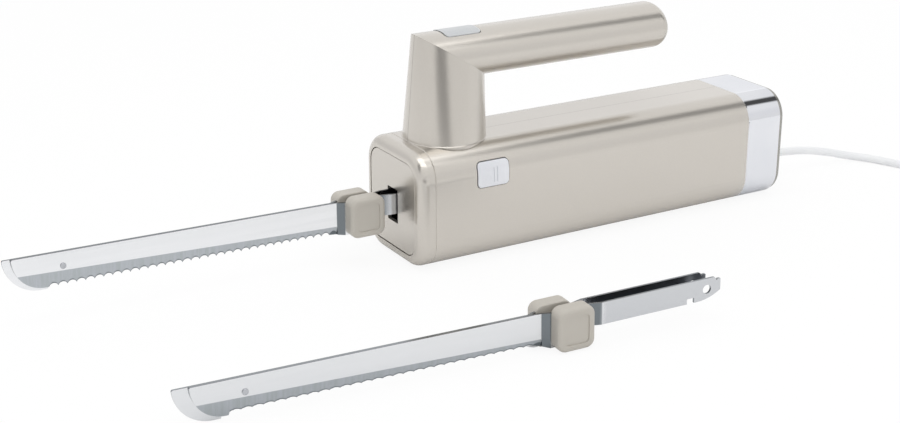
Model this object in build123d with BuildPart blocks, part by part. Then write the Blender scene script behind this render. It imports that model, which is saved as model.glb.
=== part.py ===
from build123d import *
import math
import os

os.makedirs("parts", exist_ok=True)

# Electric carving knife, lengths in millimetres. The blades point along -X, the
# cord leaves along +X, Z is up. The origin is the centre of the flat underside.
# Names that end in _x are measured back from the housing's front face.

# Fits shared by all pieces
seat_gap = 0.15
slide_gap = 0.1
turn_gap = 0.04
touch_gap = 0.02
overrun = 1.0

# Housing
housing_length = 253.3
housing_width = 64.0
housing_height = 66.0
housing_corner = 16.0
wall = 2.4
frame_depth = 9.6
frame_round = 5.8
panel_inset = 6.4
panel_recess = 0.15
panel_gap = 0.35
panel_thickness = 2.4
panel_ledge = 2.0
panel_edge = 0.5
edge_break = 0.35
spigot_length = 4.0
spigot_wall = 1.8
collar_length = 24.4
collar_wall = 2.2
cap_thickness = 2.7
cap_inset = 0.6
cap_round = 1.2
front = -housing_length / 2
back = housing_length / 2
shell_front = front + frame_depth
collar_back = back - cap_thickness
shell_back = collar_back - collar_length

# Blade slot in the front panel
slot_width = 11.5
slot_height = 19.5
slot_floor = 21.2
slot_corner = 0.8

# Post and grip
post_x = 33.0
post_radius = 23.3
post_foot = 8.0
mitre_front_x = 14.6
mitre_back_x = 56.6
grip_height = 111.9
grip_half_height = 13.3
grip_half_width = 17.4
grip_end_x = 175.4
grip_end_round = 5.5
grip_screw_seat = 1.4
grip_screw_length = 6.0
mitre_cap = 3.0
neck_wall = 2.0
neck_end_x = 100.0
passage_start_x = 25.0
mitre_middle_x = (mitre_front_x + mitre_back_x) / 2
mitre_run = (mitre_back_x - mitre_front_x) / 2
mitre_half_length = math.hypot(mitre_run, grip_half_height)

# Assembly screws of the housing
boss_radius = 4.8
screw_radius = 1.5
screw_hole = 1.6
screw_head_radius = 2.9
screw_head_height = 2.0
head_recess_depth = 7.0
screw_bite = 8.0
low_boss_z = 7.8
high_boss_z = 57.5
front_boss_x = 22.0
middle_boss_x = 66.0
wheel_boss_x = 106.0
rear_low_boss_x = 203.0
rear_high_boss_x = 207.0

# Vent slots in the underside
vent_count = 6
vent_width = 2.0
vent_length = 10.0
vent_pitch = 6.0
vent_x = 140.0
vent_y = 9.0

# Power button on the grip
power_button_x = 41.1
power_button_length = 22.8
power_button_width = 17.0
power_button_corner = 2.6
power_button_proud = 0.4
power_button_lip = 1.1
power_button_travel = 2.2
button_gap = 0.35
stem_radius = 2.0
switch_length = 12.8
switch_width = 5.8
switch_height = 6.5
switch_top_z = 112.0
switch_cover = 1.2
switch_cheek = 1.4
holder_wing_width = 25.0
holder_wing_length = 16.0
holder_wing_height = 2.0
plunger_radius = 0.9
plunger_depth = 2.5
switch_rest_gap = 0.4

# Coil springs
spring_wire = 0.6
power_spring_radius = 3.2
power_spring_turns = 4
release_spring_radius = 2.4
release_spring_turns = 6

# Drive: worm, wheel and two eccentric discs
gear_module = 1.0
worm_starts = 2
worm_pitch_radius = 4.5
worm_root_radius = 3.25
worm_length = 18.0
wheel_teeth = 24
wheel_width = 8.0
wheel_x = 95.0
wheel_z = 25.0
wheel_root_drop = 1.25
pressure_angle = 20.0
backlash = 0.24
tip_relief = 0.1
axle_radius = 2.5
eccentric_radius = 6.5
eccentric_throw = 2.0
eccentric_start = 4.0
eccentric_end = 8.2
wheel_pitch_radius = gear_module * wheel_teeth / 2
motor_z = wheel_z + wheel_pitch_radius + worm_pitch_radius

# Carriers that hold and drive the blades
carrier_inner = 2.6
carrier_outer = 8.6
carrier_plate_inner = 4.6
socket_start_x = 12.0
socket_end_x = 72.0
socket_low = 23.5
socket_high = 41.5
arm_low = 22.0
arm_high = 36.5
yoke_side = 3.6
yoke_low = 12.6
yoke_high = 36.9
yoke_gap = 0.5

# Chassis that carries the drive
chassis_inner = 9.2
chassis_outer = 12.0
chassis_start_x = 14.2
chassis_end_x = 113.0
chassis_low = 3.2
chassis_high = 61.0
guide_rib_width = 5.0
guide_rib_height = 2.2
guide_gap = 0.3
bulkhead_thickness = 3.0
bulkhead_half_width = 23.0
bulkhead_low = 20.5
window_start_x = 41.0
window_end_x = 58.0
window_low = 14.0
window_high = 53.0
chassis_boss_radius = 3.6
bush_radius = 4.5
bush_flange_radius = 5.6
bush_flange = 0.35
front_bearing_x = 77.0
front_bearing_length = 4.6
bearing_radius = 3.5
bearing_block_low = 37.3
bearing_block_high = 47.0

# Motor
can_radius = 19.0
can_wall = 1.4
can_length = 52.0
can_boss_radius = 7.0
can_boss_length = 3.6
magnet_thickness = 2.8
magnet_length = 40.0
magnet_angle = 120.0
air_gap = 0.6
shaft_radius = 2.5
shaft_start_x = 75.5
shaft_end_x = 199.0
core_length = 32.0
core_slots = 5
slot_mouth = 2.4
core_slot_radius = 3.6
core_slot_at = 8.2
winding_overhang = 4.5
winding_radius = 12.4
commutator_radius = 5.5
commutator_length = 8.0
commutator_slit = 0.5
end_cap_length = 14.0
end_cap_wall = 2.2
end_boss_radius = 6.0
end_boss_length = 4.4
brush_width = 5.0
brush_height = 4.0
brush_length = 8.0
holder_wall = 1.3
motor_screw_spacing = 15.5
motor_screw_radius = 1.3
motor_screw_head_radius = 2.2
motor_screw_head = 1.6
motor_screw_bite = 2.5
fan_radius = 16.0
fan_x = 189.0
commutator_x = 169.5
fan_hub_radius = 5.0
fan_disc = 1.2
fan_width = 8.0
fan_blades = 9
fan_blade = 1.2
cradle_thickness = 2.4
cradle_low = 17.0
cradle_front_x = 130.0
cradle_rear_x = 158.0

# Power board
board_x = 214.0
board_thickness = 1.6
board_width = 52.0
board_height = 38.0
board_low = 12.0
board_rail = 2.0
board_rail_depth = 5.0
board_rail_height = 32.0
capacitor_radius = 5.0
capacitor_length = 11.0
capacitor_y = 10.0
capacitor_z = 38.0
rectifier_width = 10.0
rectifier_height = 8.0
rectifier_depth = 4.0
rectifier_y = -10.0
rectifier_z = 38.0
lead_radius = 0.8
lead_pitch = 2.2
lead_run_y = 25.5
lead_run_z = 48.0
lead_hole_radius = 2.6
post_hole_radius = 4.0
lead_bend = 3.0
motor_lead_y = 14.0
motor_lead_drop = 11.5

# Release button and bar
release_x = 45.65
release_length = 20.7
release_low = 43.2
release_high = 58.2
release_corner = 2.8
release_gap = 0.45
release_proud = 0.4
release_flange = 1.2
ridge_spacing = 2.2
ridge_width = 0.7
ridge_height = 0.35
ridge_length = 8.5
ridge_x = 47.4
ridge_z = 50.2
wedge_length = 7.0
wedge_low = 48.5
wedge_high = 54.0
wedge_gap = 0.2
bar_x = 49.5
bar_length = 8.0
bar_low = 45.5
bar_high = 48.5
bar_leg_inner = 9.4
bar_leg_outer = 11.4
bar_leg_bottom = 23.5
bar_end_y = 22.0
bar_top = 51.5
ramp_rise = 4.0
shelf_top = 33.0
shelf_thickness = 2.0
shelf_end_y = 21.0
spring_y = 16.6
spring_pin_radius = 1.4
spring_pin_length = 4.0

# Latch springs under the carriers
latch_thickness = 0.6
latch_inner = 2.9
latch_outer = 6.9
latch_gap = 0.3
latch_end_x = 70.0
latch_fold = 2.4
tooth_width = 3.2
tooth_top = 29.2
ear_length = 4.0
ear_outer = 11.4

# Blades
blade_thickness = 1.2
blade_gap = 0.05
blade_tip_x = -212.5
blade_tip_run = 16.5
guard_tip_x = -216.7
guard_tip_run = 18.7
tip_corner = 0.8
blade_root_x = -39.0
blade_back_tip = 41.4
blade_back_root = 38.4
edge_tip = 23.4
edge_root = 20.7
guard_edge = 22.4
bevel_tip = 32.1
bevel_root = 25.1
bevel_depth = 0.85
bevel_below = 3.0
guard_bevel_x = -205.0
teeth_start_x = -194.6
tooth_pitch = 4.7
tooth_depth = 1.7
tooth_count = 33
wave_pitch = 5.3
wave_depth = 0.8
wave_rise = 1.6
heel_low = 19.8
jog_start_x = -34.8
jog_end_x = -30.9
pad_offset = 2.35
spread_start_x = -9.0
spread_end_x = -3.0
tang_offset = 4.1
bend_radius = 2.0
tang_low = 27.0
tang_high = 38.8
tang_end_x = 67.5
tang_step = 2.0
tang_step_x = 64.2
tang_step_run = 0.8
tang_nub = 0.75
tang_top_round = 1.5
tang_end_round = 0.5
tang_taper = 4.4
tang_bow_x = 61.5
tang_bow = 1.4
tang_hole_x = 59.3
tang_hole_radius = 2.45
notch_x = 49.5
notch_width = 4.3
notch_depth = 2.8
rivet_x = -186.9
rivet_z = 33.5
rivet_head_radius = 1.6
rivet_head = 0.5
rivet_radius = 1.0

# Finger pads
pad_start_x = -30.4
pad_length = 20.6
pad_lag = 3.15
pad_low = 19.0
pad_height = 22.4
pad_corner = 4.6
pad_inner = 1.5
pad_outer = 10.5
pad_round = 2.0
pad_inner_round = 0.8
pad_panel_margin = 3.6
pad_panel_corner = 2.2
pad_panel_depth = 0.5

# Spare blade set beside the knife
spare_pad_x = 12.1
spare_y = -143.5
spare_turn = -4.0
spare_shift = 3.5

# Cord, its fittings and its plug
cord_diameter = 5.0
cord_exit_z = 14.5
relief_length = 25.0
relief_base_radius = 5.0
relief_tip_radius = 3.3
relief_neck_radius = 5.2
relief_flange_radius = 7.4
relief_flange = 2.0
relief_groove = 0.7
relief_groove_width = 1.1
relief_groove_count = 5
tail_start_x = 219.0
clamp_shelf_x = 229.0
clamp_shelf_half_width = 14.0
clamp_shelf_drop = 2.6
clamp_x = 236.0
clamp_length = 8.0
clamp_half_width = 11.0
clamp_thickness = 6.6
clamp_screw_spacing = 7.6
clamp_screw_radius = 1.25
clamp_screw_head = 2.4
clamp_screw_length = 12.0
clamp_screw_head_height = 1.6
coil_radius = 34.0
coil_pitch = 5.5
coil_half_turns = 6
coil_tail = 10.0
plug_relief_length = 20.0
plug_relief_radius = 3.3
plug_width = 35.3
plug_thickness = 13.7
plug_neck_width = 13.0
plug_edge_round = 2.0
plug_length = 38.0
plug_corner = 4.0
plug_shoulder_share = 0.42
pin_radius = 2.0
pin_core_radius = 1.5
pin_sleeve_length = 10.0
pin_length = 19.0
pin_root = 6.0
pin_spacing = 18.6


# Shared outlines

def housing_outline(inset=0, mode=Mode.ADD):
    """The housing's cross-section, drawn in by inset on a plane square to X."""
    with Locations((0, housing_height / 2)):
        RectangleRounded(
            housing_width - 2 * inset,
            housing_height - 2 * inset,
            housing_corner - inset,
            mode=mode,
        )


def grip_outline(inset=0, mode=Mode.ADD):
    """The grip's oval cross-section, drawn in by inset on a plane square to X."""
    with Locations((0, grip_height)):
        Ellipse(grip_half_width - inset, grip_half_height - inset, mode=mode)


def slab(low, high):
    """A rectangle given by its lowest and highest corners."""
    middle = ((low[0] + high[0]) / 2, (low[1] + high[1]) / 2)
    with Locations(middle):
        Rectangle(high[0] - low[0], high[1] - low[1])


def mitre_plane(drop=0):
    """The slanted plane where the post meets the grip, lowered along its normal."""
    normal = Vector(grip_half_height, 0, mitre_run).normalized()
    centre = Vector(front + mitre_middle_x, 0, grip_height) - normal * drop
    return Plane(centre, x_dir=(mitre_run, 0, -grip_half_height), z_dir=normal)


def post_loft(inset=0, drop=0):
    """The post from its round foot to the slanted oval under the grip."""
    foot = Plane((front + post_x, 0, housing_height))
    with BuildSketch(foot) as lower:
        Circle(post_radius - inset)
    extrude(lower.sketch, amount=-post_foot)
    with BuildSketch(mitre_plane(drop)) as upper:
        Ellipse(mitre_half_length - inset, grip_half_width - inset)
    loft(sections=[lower.sketch, upper.sketch], clean=False)


# Housing: front frame and panel

with BuildPart() as front_frame:
    with BuildSketch(Plane.YZ.offset(front)):
        housing_outline()
    extrude(amount=frame_depth)
    fillet(front_frame.edges().group_by(Axis.X)[0], radius=frame_round)
    chamfer(front_frame.edges().group_by(Axis.X)[-1], length=edge_break)
    with BuildSketch(Plane.YZ.offset(front)):
        housing_outline(panel_inset)
    extrude(amount=panel_recess + panel_thickness, mode=Mode.SUBTRACT)
    with BuildSketch(Plane.YZ.offset(front)):
        housing_outline(panel_inset + panel_ledge)
    extrude(amount=frame_depth, mode=Mode.SUBTRACT)
    with BuildSketch(Plane.YZ.offset(shell_front)):
        housing_outline(wall + seat_gap)
        housing_outline(wall + seat_gap + spigot_wall, mode=Mode.SUBTRACT)
    extrude(amount=spigot_length)
front_frame.part.label = "front_frame"
export_step(front_frame.part, "parts/front_frame.step")

with BuildPart() as front_panel:
    with BuildSketch(Plane.YZ.offset(front + panel_recess)):
        housing_outline(panel_inset + panel_gap)
    extrude(amount=panel_thickness - touch_gap)
    fillet(front_panel.edges().group_by(Axis.X)[0], radius=panel_edge)
    with BuildSketch(Plane.YZ.offset(front + panel_recess)):
        with Locations((0, slot_floor + slot_height / 2)):
            RectangleRounded(slot_width, slot_height, slot_corner)
    extrude(amount=panel_thickness, mode=Mode.SUBTRACT)
front_panel.part.label = "front_panel"
export_step(front_panel.part, "parts/front_panel.step")

# Housing: the two shells, made whole and then parted along the middle

bosses_through_chassis = [
    (front_boss_x, low_boss_z),
    (middle_boss_x, high_boss_z),
    (wheel_boss_x, low_boss_z),
]
bosses_behind = [
    (rear_low_boss_x, low_boss_z),
    (rear_high_boss_x, high_boss_z),
]
all_bosses = bosses_through_chassis + bosses_behind
through_places = [(front + x, z) for x, z in bosses_through_chassis]
behind_places = [(front + x, z) for x, z in bosses_behind]
boss_places = [(front + x, z) for x, z in all_bosses]
vent_places = [(front + vent_x, side * vent_y) for side in (-1, 1)]

with BuildPart() as post_cavity:
    post_loft(inset=wall, drop=mitre_cap)

with BuildPart() as neck:
    with BuildSketch(Plane.YZ.offset(front + mitre_front_x)):
        grip_outline(wall + seat_gap)
    extrude(amount=neck_end_x - mitre_front_x)
    split(bisect_by=mitre_plane(mitre_cap / 2), keep=Keep.TOP)

with BuildPart() as boss_set:
    with BuildSketch(Plane.XZ.offset(chassis_outer + touch_gap)):
        with Locations(*through_places):
            Circle(boss_radius)
    extrude(amount=housing_width / 2 - chassis_outer - wall / 2)
    mirror(about=Plane.XZ)
    with BuildSketch(Plane.XZ.offset(housing_width / 2 - wall / 2)):
        with Locations(*behind_places):
            Circle(boss_radius)
    extrude(amount=-(housing_width - wall))
    with BuildSketch(Plane.YZ.offset(shell_front)):
        housing_outline(wall / 2)
    extrude(amount=shell_back - shell_front, mode=Mode.INTERSECT)

with BuildPart() as cradles:
    for cradle_x in (cradle_front_x, cradle_rear_x):
        with BuildSketch(Plane.YZ.offset(front + cradle_x)):
            housing_outline(wall / 2)
            with Locations((0, cradle_low / 2)):
                Rectangle(housing_width, cradle_low, mode=Mode.SUBTRACT)
            with Locations((0, motor_z)):
                Circle(can_radius + seat_gap, mode=Mode.SUBTRACT)
            with Locations((lead_run_y, lead_run_z)):
                Circle(lead_hole_radius, mode=Mode.SUBTRACT)
        extrude(amount=cradle_thickness)
    rail_start = board_x - board_rail - seat_gap
    rail_end = board_x + board_thickness + seat_gap
    for rail_x in (rail_start, rail_end):
        with BuildSketch(Plane.YZ.offset(front + rail_x)):
            for side in (-1, 1):
                with Locations((side * (housing_width / 2 - wall / 2), housing_height / 2)):
                    rail_align = Align.MIN if side < 0 else Align.MAX
                    Rectangle(board_rail_depth + wall, board_rail_height, align=(rail_align, Align.CENTER))
        extrude(amount=board_rail)

release_middle = (release_low + release_high) / 2
grip_screw_x = neck_end_x - boss_radius - overrun
grip_underside = grip_height - grip_half_height

with BuildPart() as whole_shell:
    with BuildSketch(Plane.YZ.offset(shell_front)):
        housing_outline()
    extrude(amount=shell_back - shell_front)
    chamfer(whole_shell.edges().group_by(Axis.X)[0], length=edge_break)
    chamfer(whole_shell.edges().group_by(Axis.X)[-1], length=edge_break)
    post_loft()
    with BuildSketch(Plane.YZ.offset(shell_front)):
        housing_outline(wall)
    extrude(amount=shell_back - shell_front, mode=Mode.SUBTRACT)
    add(post_cavity.part, mode=Mode.SUBTRACT)
    add(neck.part)
    with BuildSketch(Plane.YZ.offset(front + passage_start_x)):
        grip_outline(wall + seat_gap + neck_wall)
    extrude(amount=neck_end_x - passage_start_x, mode=Mode.SUBTRACT)
    with BuildSketch(Plane((front + power_button_x, 0, grip_height))):
        Circle(post_hole_radius)
    extrude(amount=-grip_half_height - mitre_cap, mode=Mode.SUBTRACT)
    button_cut_length = power_button_length + 2 * (button_gap + power_button_lip + seat_gap)
    button_cut_width = power_button_width + 2 * (button_gap + power_button_lip + seat_gap)
    with BuildSketch(Plane((front + power_button_x, 0, switch_top_z + switch_cover))):
        Rectangle(button_cut_length, button_cut_width)
    extrude(amount=grip_half_height, mode=Mode.SUBTRACT)
    add(boss_set.part)
    add(cradles.part)
    with BuildSketch(Plane.XZ.offset(housing_width / 2 + overrun)):
        with Locations((front + release_x, release_middle)):
            RectangleRounded(release_length, release_high - release_low, release_corner)
    extrude(amount=-(housing_width / 4), mode=Mode.SUBTRACT)
    with BuildSketch(Plane.XY):
        for vent_place in vent_places:
            with Locations(vent_place):
                with GridLocations(vent_pitch, 0, vent_count, 1):
                    SlotOverall(vent_length, vent_width, rotation=90)
    extrude(amount=wall + overrun, both=True, mode=Mode.SUBTRACT)
    with BuildSketch(Plane.XZ.offset(-housing_width / 2)):
        with Locations(*boss_places):
            Circle(screw_hole)
    extrude(amount=housing_width / 2 + chassis_outer + screw_bite + overrun, mode=Mode.SUBTRACT)
    with BuildSketch(Plane.XZ.offset(-housing_width / 2 - overrun)):
        with Locations(*boss_places):
            Circle(screw_head_radius + seat_gap)
    extrude(amount=head_recess_depth + overrun, mode=Mode.SUBTRACT)
    with BuildSketch(Plane((front + grip_screw_x, 0, grip_height))):
        Circle(screw_radius + touch_gap)
    extrude(amount=-grip_half_height, mode=Mode.SUBTRACT)

with BuildPart() as housing_left_shell:
    add(whole_shell.part)
    split(bisect_by=Plane.XZ, keep=Keep.TOP)
housing_left_shell.part.label = "housing_left_shell"
export_step(housing_left_shell.part, "parts/housing_left_shell.step")

with BuildPart() as housing_right_shell:
    add(whole_shell.part)
    split(bisect_by=Plane.XZ, keep=Keep.BOTTOM)
housing_right_shell.part.label = "housing_right_shell"
export_step(housing_right_shell.part, "parts/housing_right_shell.step")

with BuildPart() as shell_screws:
    head_face = -(housing_width / 2 - head_recess_depth)
    with BuildSketch(Plane.XZ.offset(head_face)):
        with Locations(*boss_places):
            Circle(screw_head_radius)
    extrude(amount=-screw_head_height)
    with BuildSketch(Plane.XZ.offset(head_face)):
        with Locations(*boss_places):
            Circle(screw_radius)
    extrude(amount=chassis_outer + screw_bite - head_face)
    grip_head = Plane((front + grip_screw_x, 0, grip_underside + touch_gap))
    with BuildSketch(grip_head):
        Circle(screw_head_radius)
    extrude(amount=grip_screw_seat - touch_gap)
    with BuildSketch(grip_head):
        Circle(screw_radius)
    extrude(amount=grip_screw_length)
shell_screws.part.label = "shell_screws"
export_step(shell_screws.part, "parts/shell_screws.step")

# Housing: rear collar and cap

with BuildPart() as rear_collar:
    with BuildSketch(Plane.YZ.offset(shell_back)):
        housing_outline()
    extrude(amount=collar_length)
    chamfer(rear_collar.edges().group_by(Axis.X)[0], length=edge_break)
    chamfer(rear_collar.edges().group_by(Axis.X)[-1], length=edge_break)
    with BuildSketch(Plane.YZ.offset(shell_back)):
        housing_outline(collar_wall)
    extrude(amount=collar_length, mode=Mode.SUBTRACT)
    with BuildSketch(Plane.YZ.offset(shell_back - spigot_length)):
        housing_outline(wall + seat_gap)
        housing_outline(wall + seat_gap + spigot_wall, mode=Mode.SUBTRACT)
    extrude(amount=spigot_length)
    with BuildSketch(Plane.YZ.offset(shell_back)):
        housing_outline(collar_wall / 2)
        housing_outline(wall + seat_gap + spigot_wall, mode=Mode.SUBTRACT)
    extrude(amount=spigot_wall)
rear_collar.part.label = "rear_collar"
export_step(rear_collar.part, "parts/rear_collar.step")

clamp_shelf_top = cord_exit_z - clamp_shelf_drop
with BuildPart() as rear_cap:
    with BuildSketch(Plane.YZ.offset(collar_back)):
        housing_outline(cap_inset)
    extrude(amount=cap_thickness)
    fillet(rear_cap.edges().group_by(Axis.X)[-1], radius=cap_round)
    with BuildSketch(Plane.YZ.offset(collar_back)):
        housing_outline(collar_wall + seat_gap)
        housing_outline(collar_wall + seat_gap + spigot_wall, mode=Mode.SUBTRACT)
    extrude(amount=-spigot_length)
    with BuildSketch(Plane.YZ.offset(collar_back)):
        shelf_low = collar_wall + seat_gap + wall
        slab((-clamp_shelf_half_width, shelf_low), (clamp_shelf_half_width, clamp_shelf_top))
    extrude(amount=front + clamp_shelf_x - collar_back)
    with BuildSketch(Plane.YZ.offset(front + clamp_shelf_x)):
        with Locations((0, cord_exit_z)):
            Circle(cord_diameter / 2 + seat_gap)
    extrude(amount=back - front - clamp_shelf_x, mode=Mode.SUBTRACT)
    with BuildSketch(Plane.YZ.offset(collar_back)):
        with Locations((0, cord_exit_z)):
            Circle(relief_neck_radius + slide_gap)
    extrude(amount=cap_thickness, mode=Mode.SUBTRACT)
    with BuildSketch(Plane.YZ.offset(collar_back)):
        with Locations((0, cord_exit_z)):
            Circle(relief_flange_radius + seat_gap)
    extrude(amount=-relief_flange - seat_gap, mode=Mode.SUBTRACT)
    with BuildSketch(Plane.XY.offset(clamp_shelf_top)):
        with Locations((front + clamp_x + clamp_length / 2, 0)):
            with GridLocations(0, 2 * clamp_screw_spacing, 1, 2):
                Circle(clamp_screw_radius + turn_gap)
    extrude(amount=-clamp_screw_length + clamp_thickness, mode=Mode.SUBTRACT)
rear_cap.part.label = "rear_cap"
export_step(rear_cap.part, "parts/rear_cap.step")

# Grip cover, one blind tube pushed over the neck and held by one screw

with BuildPart() as grip_cover:
    with BuildSketch(Plane.YZ.offset(front + mitre_front_x)):
        grip_outline()
    extrude(amount=grip_end_x - mitre_front_x)
    fillet(grip_cover.edges().group_by(Axis.X)[-1], radius=grip_end_round)
    with BuildSketch(Plane.YZ.offset(front + mitre_front_x)):
        grip_outline(wall)
    extrude(amount=grip_end_x - mitre_front_x - grip_end_round - wall, mode=Mode.SUBTRACT)
    split(bisect_by=mitre_plane(-touch_gap), keep=Keep.TOP)
    with BuildSketch(Plane((front + power_button_x, 0, grip_height))):
        RectangleRounded(power_button_length, power_button_width, power_button_corner)
    extrude(amount=grip_half_height + overrun, mode=Mode.SUBTRACT)
    with BuildSketch(Plane((front + grip_screw_x, 0, grip_underside))):
        Circle(screw_hole)
    extrude(amount=2 * wall, both=True, mode=Mode.SUBTRACT)
    with BuildSketch(Plane((front + grip_screw_x, 0, grip_underside))):
        Circle(screw_head_radius + seat_gap)
    extrude(amount=grip_screw_seat + touch_gap, mode=Mode.SUBTRACT)
grip_cover.part.label = "grip_cover"
export_step(grip_cover.part, "parts/grip_cover.step")

# Power button, its switch and the cradle that carries them in the grip's neck

cradle_top = switch_top_z + switch_cover
stem_low = cradle_top + power_button_travel + switch_rest_gap
button_inner = wall + seat_gap + power_button_lip
button_floor = grip_height + grip_half_height - button_inner


def button_skin(length, width, corner, outer, inner):
    """A curved plate that follows the grip's top between two insets."""
    with BuildPart() as skin:
        with BuildSketch(Plane.YZ.offset(front + power_button_x - length / 2)) as ring:
            grip_outline(outer)
            grip_outline(inner, mode=Mode.SUBTRACT)
        extrude(ring.sketch, amount=length)
        with BuildSketch(Plane((front + power_button_x, 0, grip_height))) as area:
            RectangleRounded(length, width, corner)
        extrude(area.sketch, amount=grip_half_height + overrun, mode=Mode.INTERSECT)
    return skin.part


with BuildPart() as power_button:
    add(
        button_skin(
            power_button_length - 2 * button_gap,
            power_button_width - 2 * button_gap,
            power_button_corner - button_gap,
            -power_button_proud,
            button_inner,
        )
    )
    add(
        button_skin(
            power_button_length + 2 * power_button_lip,
            power_button_width + 2 * power_button_lip,
            power_button_corner,
            wall + seat_gap,
            button_inner,
        )
    )
    with BuildSketch(Plane((front + power_button_x, 0, stem_low))):
        Circle(stem_radius)
    extrude(amount=button_floor - stem_low + seat_gap)
power_button.part.label = "power_button"
export_step(power_button.part, "parts/power_button.step")

with BuildPart() as switch_plunger:
    with BuildSketch(Plane((front + power_button_x, 0, switch_top_z - plunger_depth))):
        Circle(plunger_radius)
    extrude(amount=stem_low - touch_gap - switch_top_z + plunger_depth)
switch_plunger.part.label = "switch_plunger"
export_step(switch_plunger.part, "parts/switch_plunger.step")

with BuildPart() as microswitch:
    with BuildSketch(Plane((front + power_button_x, 0, switch_top_z - touch_gap))):
        RectangleRounded(switch_length, switch_width, switch_cover / 2)
    extrude(amount=-switch_height)
    with BuildSketch(Plane((front + power_button_x, 0, switch_top_z))):
        Circle(plunger_radius + slide_gap)
    extrude(amount=-plunger_depth - power_button_travel - seat_gap, mode=Mode.SUBTRACT)
microswitch.part.label = "microswitch"
export_step(microswitch.part, "parts/microswitch.step")

with BuildPart() as switch_holder:
    with BuildSketch(Plane((front + power_button_x, 0, cradle_top))):
        Rectangle(holder_wing_length, holder_wing_width)
    extrude(amount=-holder_wing_height)
    with BuildSketch(Plane((front + power_button_x, 0, switch_top_z))):
        cheek = 2 * (seat_gap + switch_cheek)
        Rectangle(switch_length + cheek, switch_width + cheek)
    extrude(amount=-switch_height)
    with BuildSketch(Plane((front + power_button_x, 0, switch_top_z))):
        Rectangle(switch_length + 2 * seat_gap, switch_width + 2 * seat_gap)
    extrude(amount=-switch_height, mode=Mode.SUBTRACT)
    with BuildSketch(Plane((front + power_button_x, 0, cradle_top))):
        Circle(plunger_radius + seat_gap)
    extrude(amount=-2 * switch_cover, mode=Mode.SUBTRACT)
switch_holder.part.label = "switch_holder"
export_step(switch_holder.part, "parts/switch_holder.step")


def half_turn(start, end, side):
    """A half circle from start to end that bulges to the given side along a unit vector."""
    middle = (start + end) / 2
    return ThreePointArc(start, middle + side * ((end - start).length / 2), end)


def coil_spring(foot, radius, length, turns):
    """A coil spring standing on foot, each half turn climbing by half a pitch."""
    climb = (length - spring_wire) / (2 * turns)
    base = foot + Vector(0, 0, spring_wire / 2)
    with BuildPart() as spring:
        with BuildLine() as path:
            for step in range(2 * turns):
                side = 1 if step % 2 == 0 else -1
                start = base + Vector(side * radius, 0, step * climb)
                end = base + Vector(-side * radius, 0, (step + 1) * climb)
                half_turn(start, end, Vector(0, side, 0))
        with BuildSketch(Plane(path.line @ 0, z_dir=path.line % 0)) as wire:
            Circle(spring_wire / 2)
        sweep(wire.sketch, path=path.line)
    return spring.part


power_spring_length = button_floor - cradle_top - 2 * guide_gap
with BuildPart() as power_button_spring:
    add(
        coil_spring(
            Vector(front + power_button_x, 0, cradle_top + touch_gap),
            power_spring_radius,
            power_spring_length,
            power_spring_turns,
        )
    )
power_button_spring.part.label = "power_button_spring"
export_step(power_button_spring.part, "parts/power_button_spring.step")

# Drive: worm on the motor shaft, wheel and the two eccentric discs

lead_per_radian = worm_starts * gear_module / 2
worm_outer_radius = worm_pitch_radius + gear_module - tip_relief
wheel_tip_radius = wheel_pitch_radius + gear_module - tip_relief
wheel_root_radius = wheel_pitch_radius - wheel_root_drop
tooth_half = math.pi * gear_module / 4 - backlash / 4


def polar(radius, angle):
    """A point at a radius and an angle in radians."""
    return (radius * math.cos(angle), radius * math.sin(angle))


def worm_half_angle(radius):
    """Half the angle that a worm thread takes at a radius of its cross-section."""
    slope = math.tan(math.radians(pressure_angle))
    return (tooth_half - (radius - worm_pitch_radius) * slope) / lead_per_radian


def wheel_half_angle(radius):
    """Half the angle that a wheel tooth takes at a radius, with involute flanks."""
    pressure = math.radians(pressure_angle)
    base_radius = wheel_pitch_radius * math.cos(pressure)
    here = math.acos(min(1, base_radius / radius))
    pitch_half = tooth_half / wheel_pitch_radius
    return pitch_half + math.tan(pressure) - pressure - math.tan(here) + here


worm_twist = worm_length / lead_per_radian
worm_plane = Plane(
    (front + wheel_x - worm_length / 2, 0, motor_z),
    x_dir=(0, 1, 0),
    z_dir=(1, 0, 0),
)
worm_radii = [worm_root_radius, worm_pitch_radius, worm_outer_radius]
start_angle = 2 * math.pi / worm_starts
with BuildSketch(worm_plane) as worm_section:
    with BuildLine():
        for start in range(worm_starts):
            middle = start * start_angle - worm_twist / 2
            valley = middle + start_angle / 2
            rising = [polar(r, middle - worm_half_angle(r)) for r in worm_radii]
            falling = [polar(r, middle + worm_half_angle(r)) for r in reversed(worm_radii)]
            next_foot = middle + start_angle - worm_half_angle(worm_root_radius)
            Spline(*rising)
            ThreePointArc(rising[-1], polar(worm_outer_radius, middle), falling[0])
            Spline(*falling)
            ThreePointArc(
                falling[-1],
                polar(worm_root_radius, valley),
                polar(worm_root_radius, next_foot),
            )
    make_face()

with BuildPart() as worm:
    add(
        Solid.extrude_linear_with_rotation(
            worm_section.sketch.face(),
            center=worm_plane.origin,
            normal=(worm_length, 0, 0),
            angle=math.degrees(worm_twist),
        )
    )
    with BuildSketch(worm_plane):
        Circle(shaft_radius + touch_gap)
    extrude(amount=worm_length, mode=Mode.SUBTRACT)
worm.part.label = "worm"
export_step(worm.part, "parts/worm.step")

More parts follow.
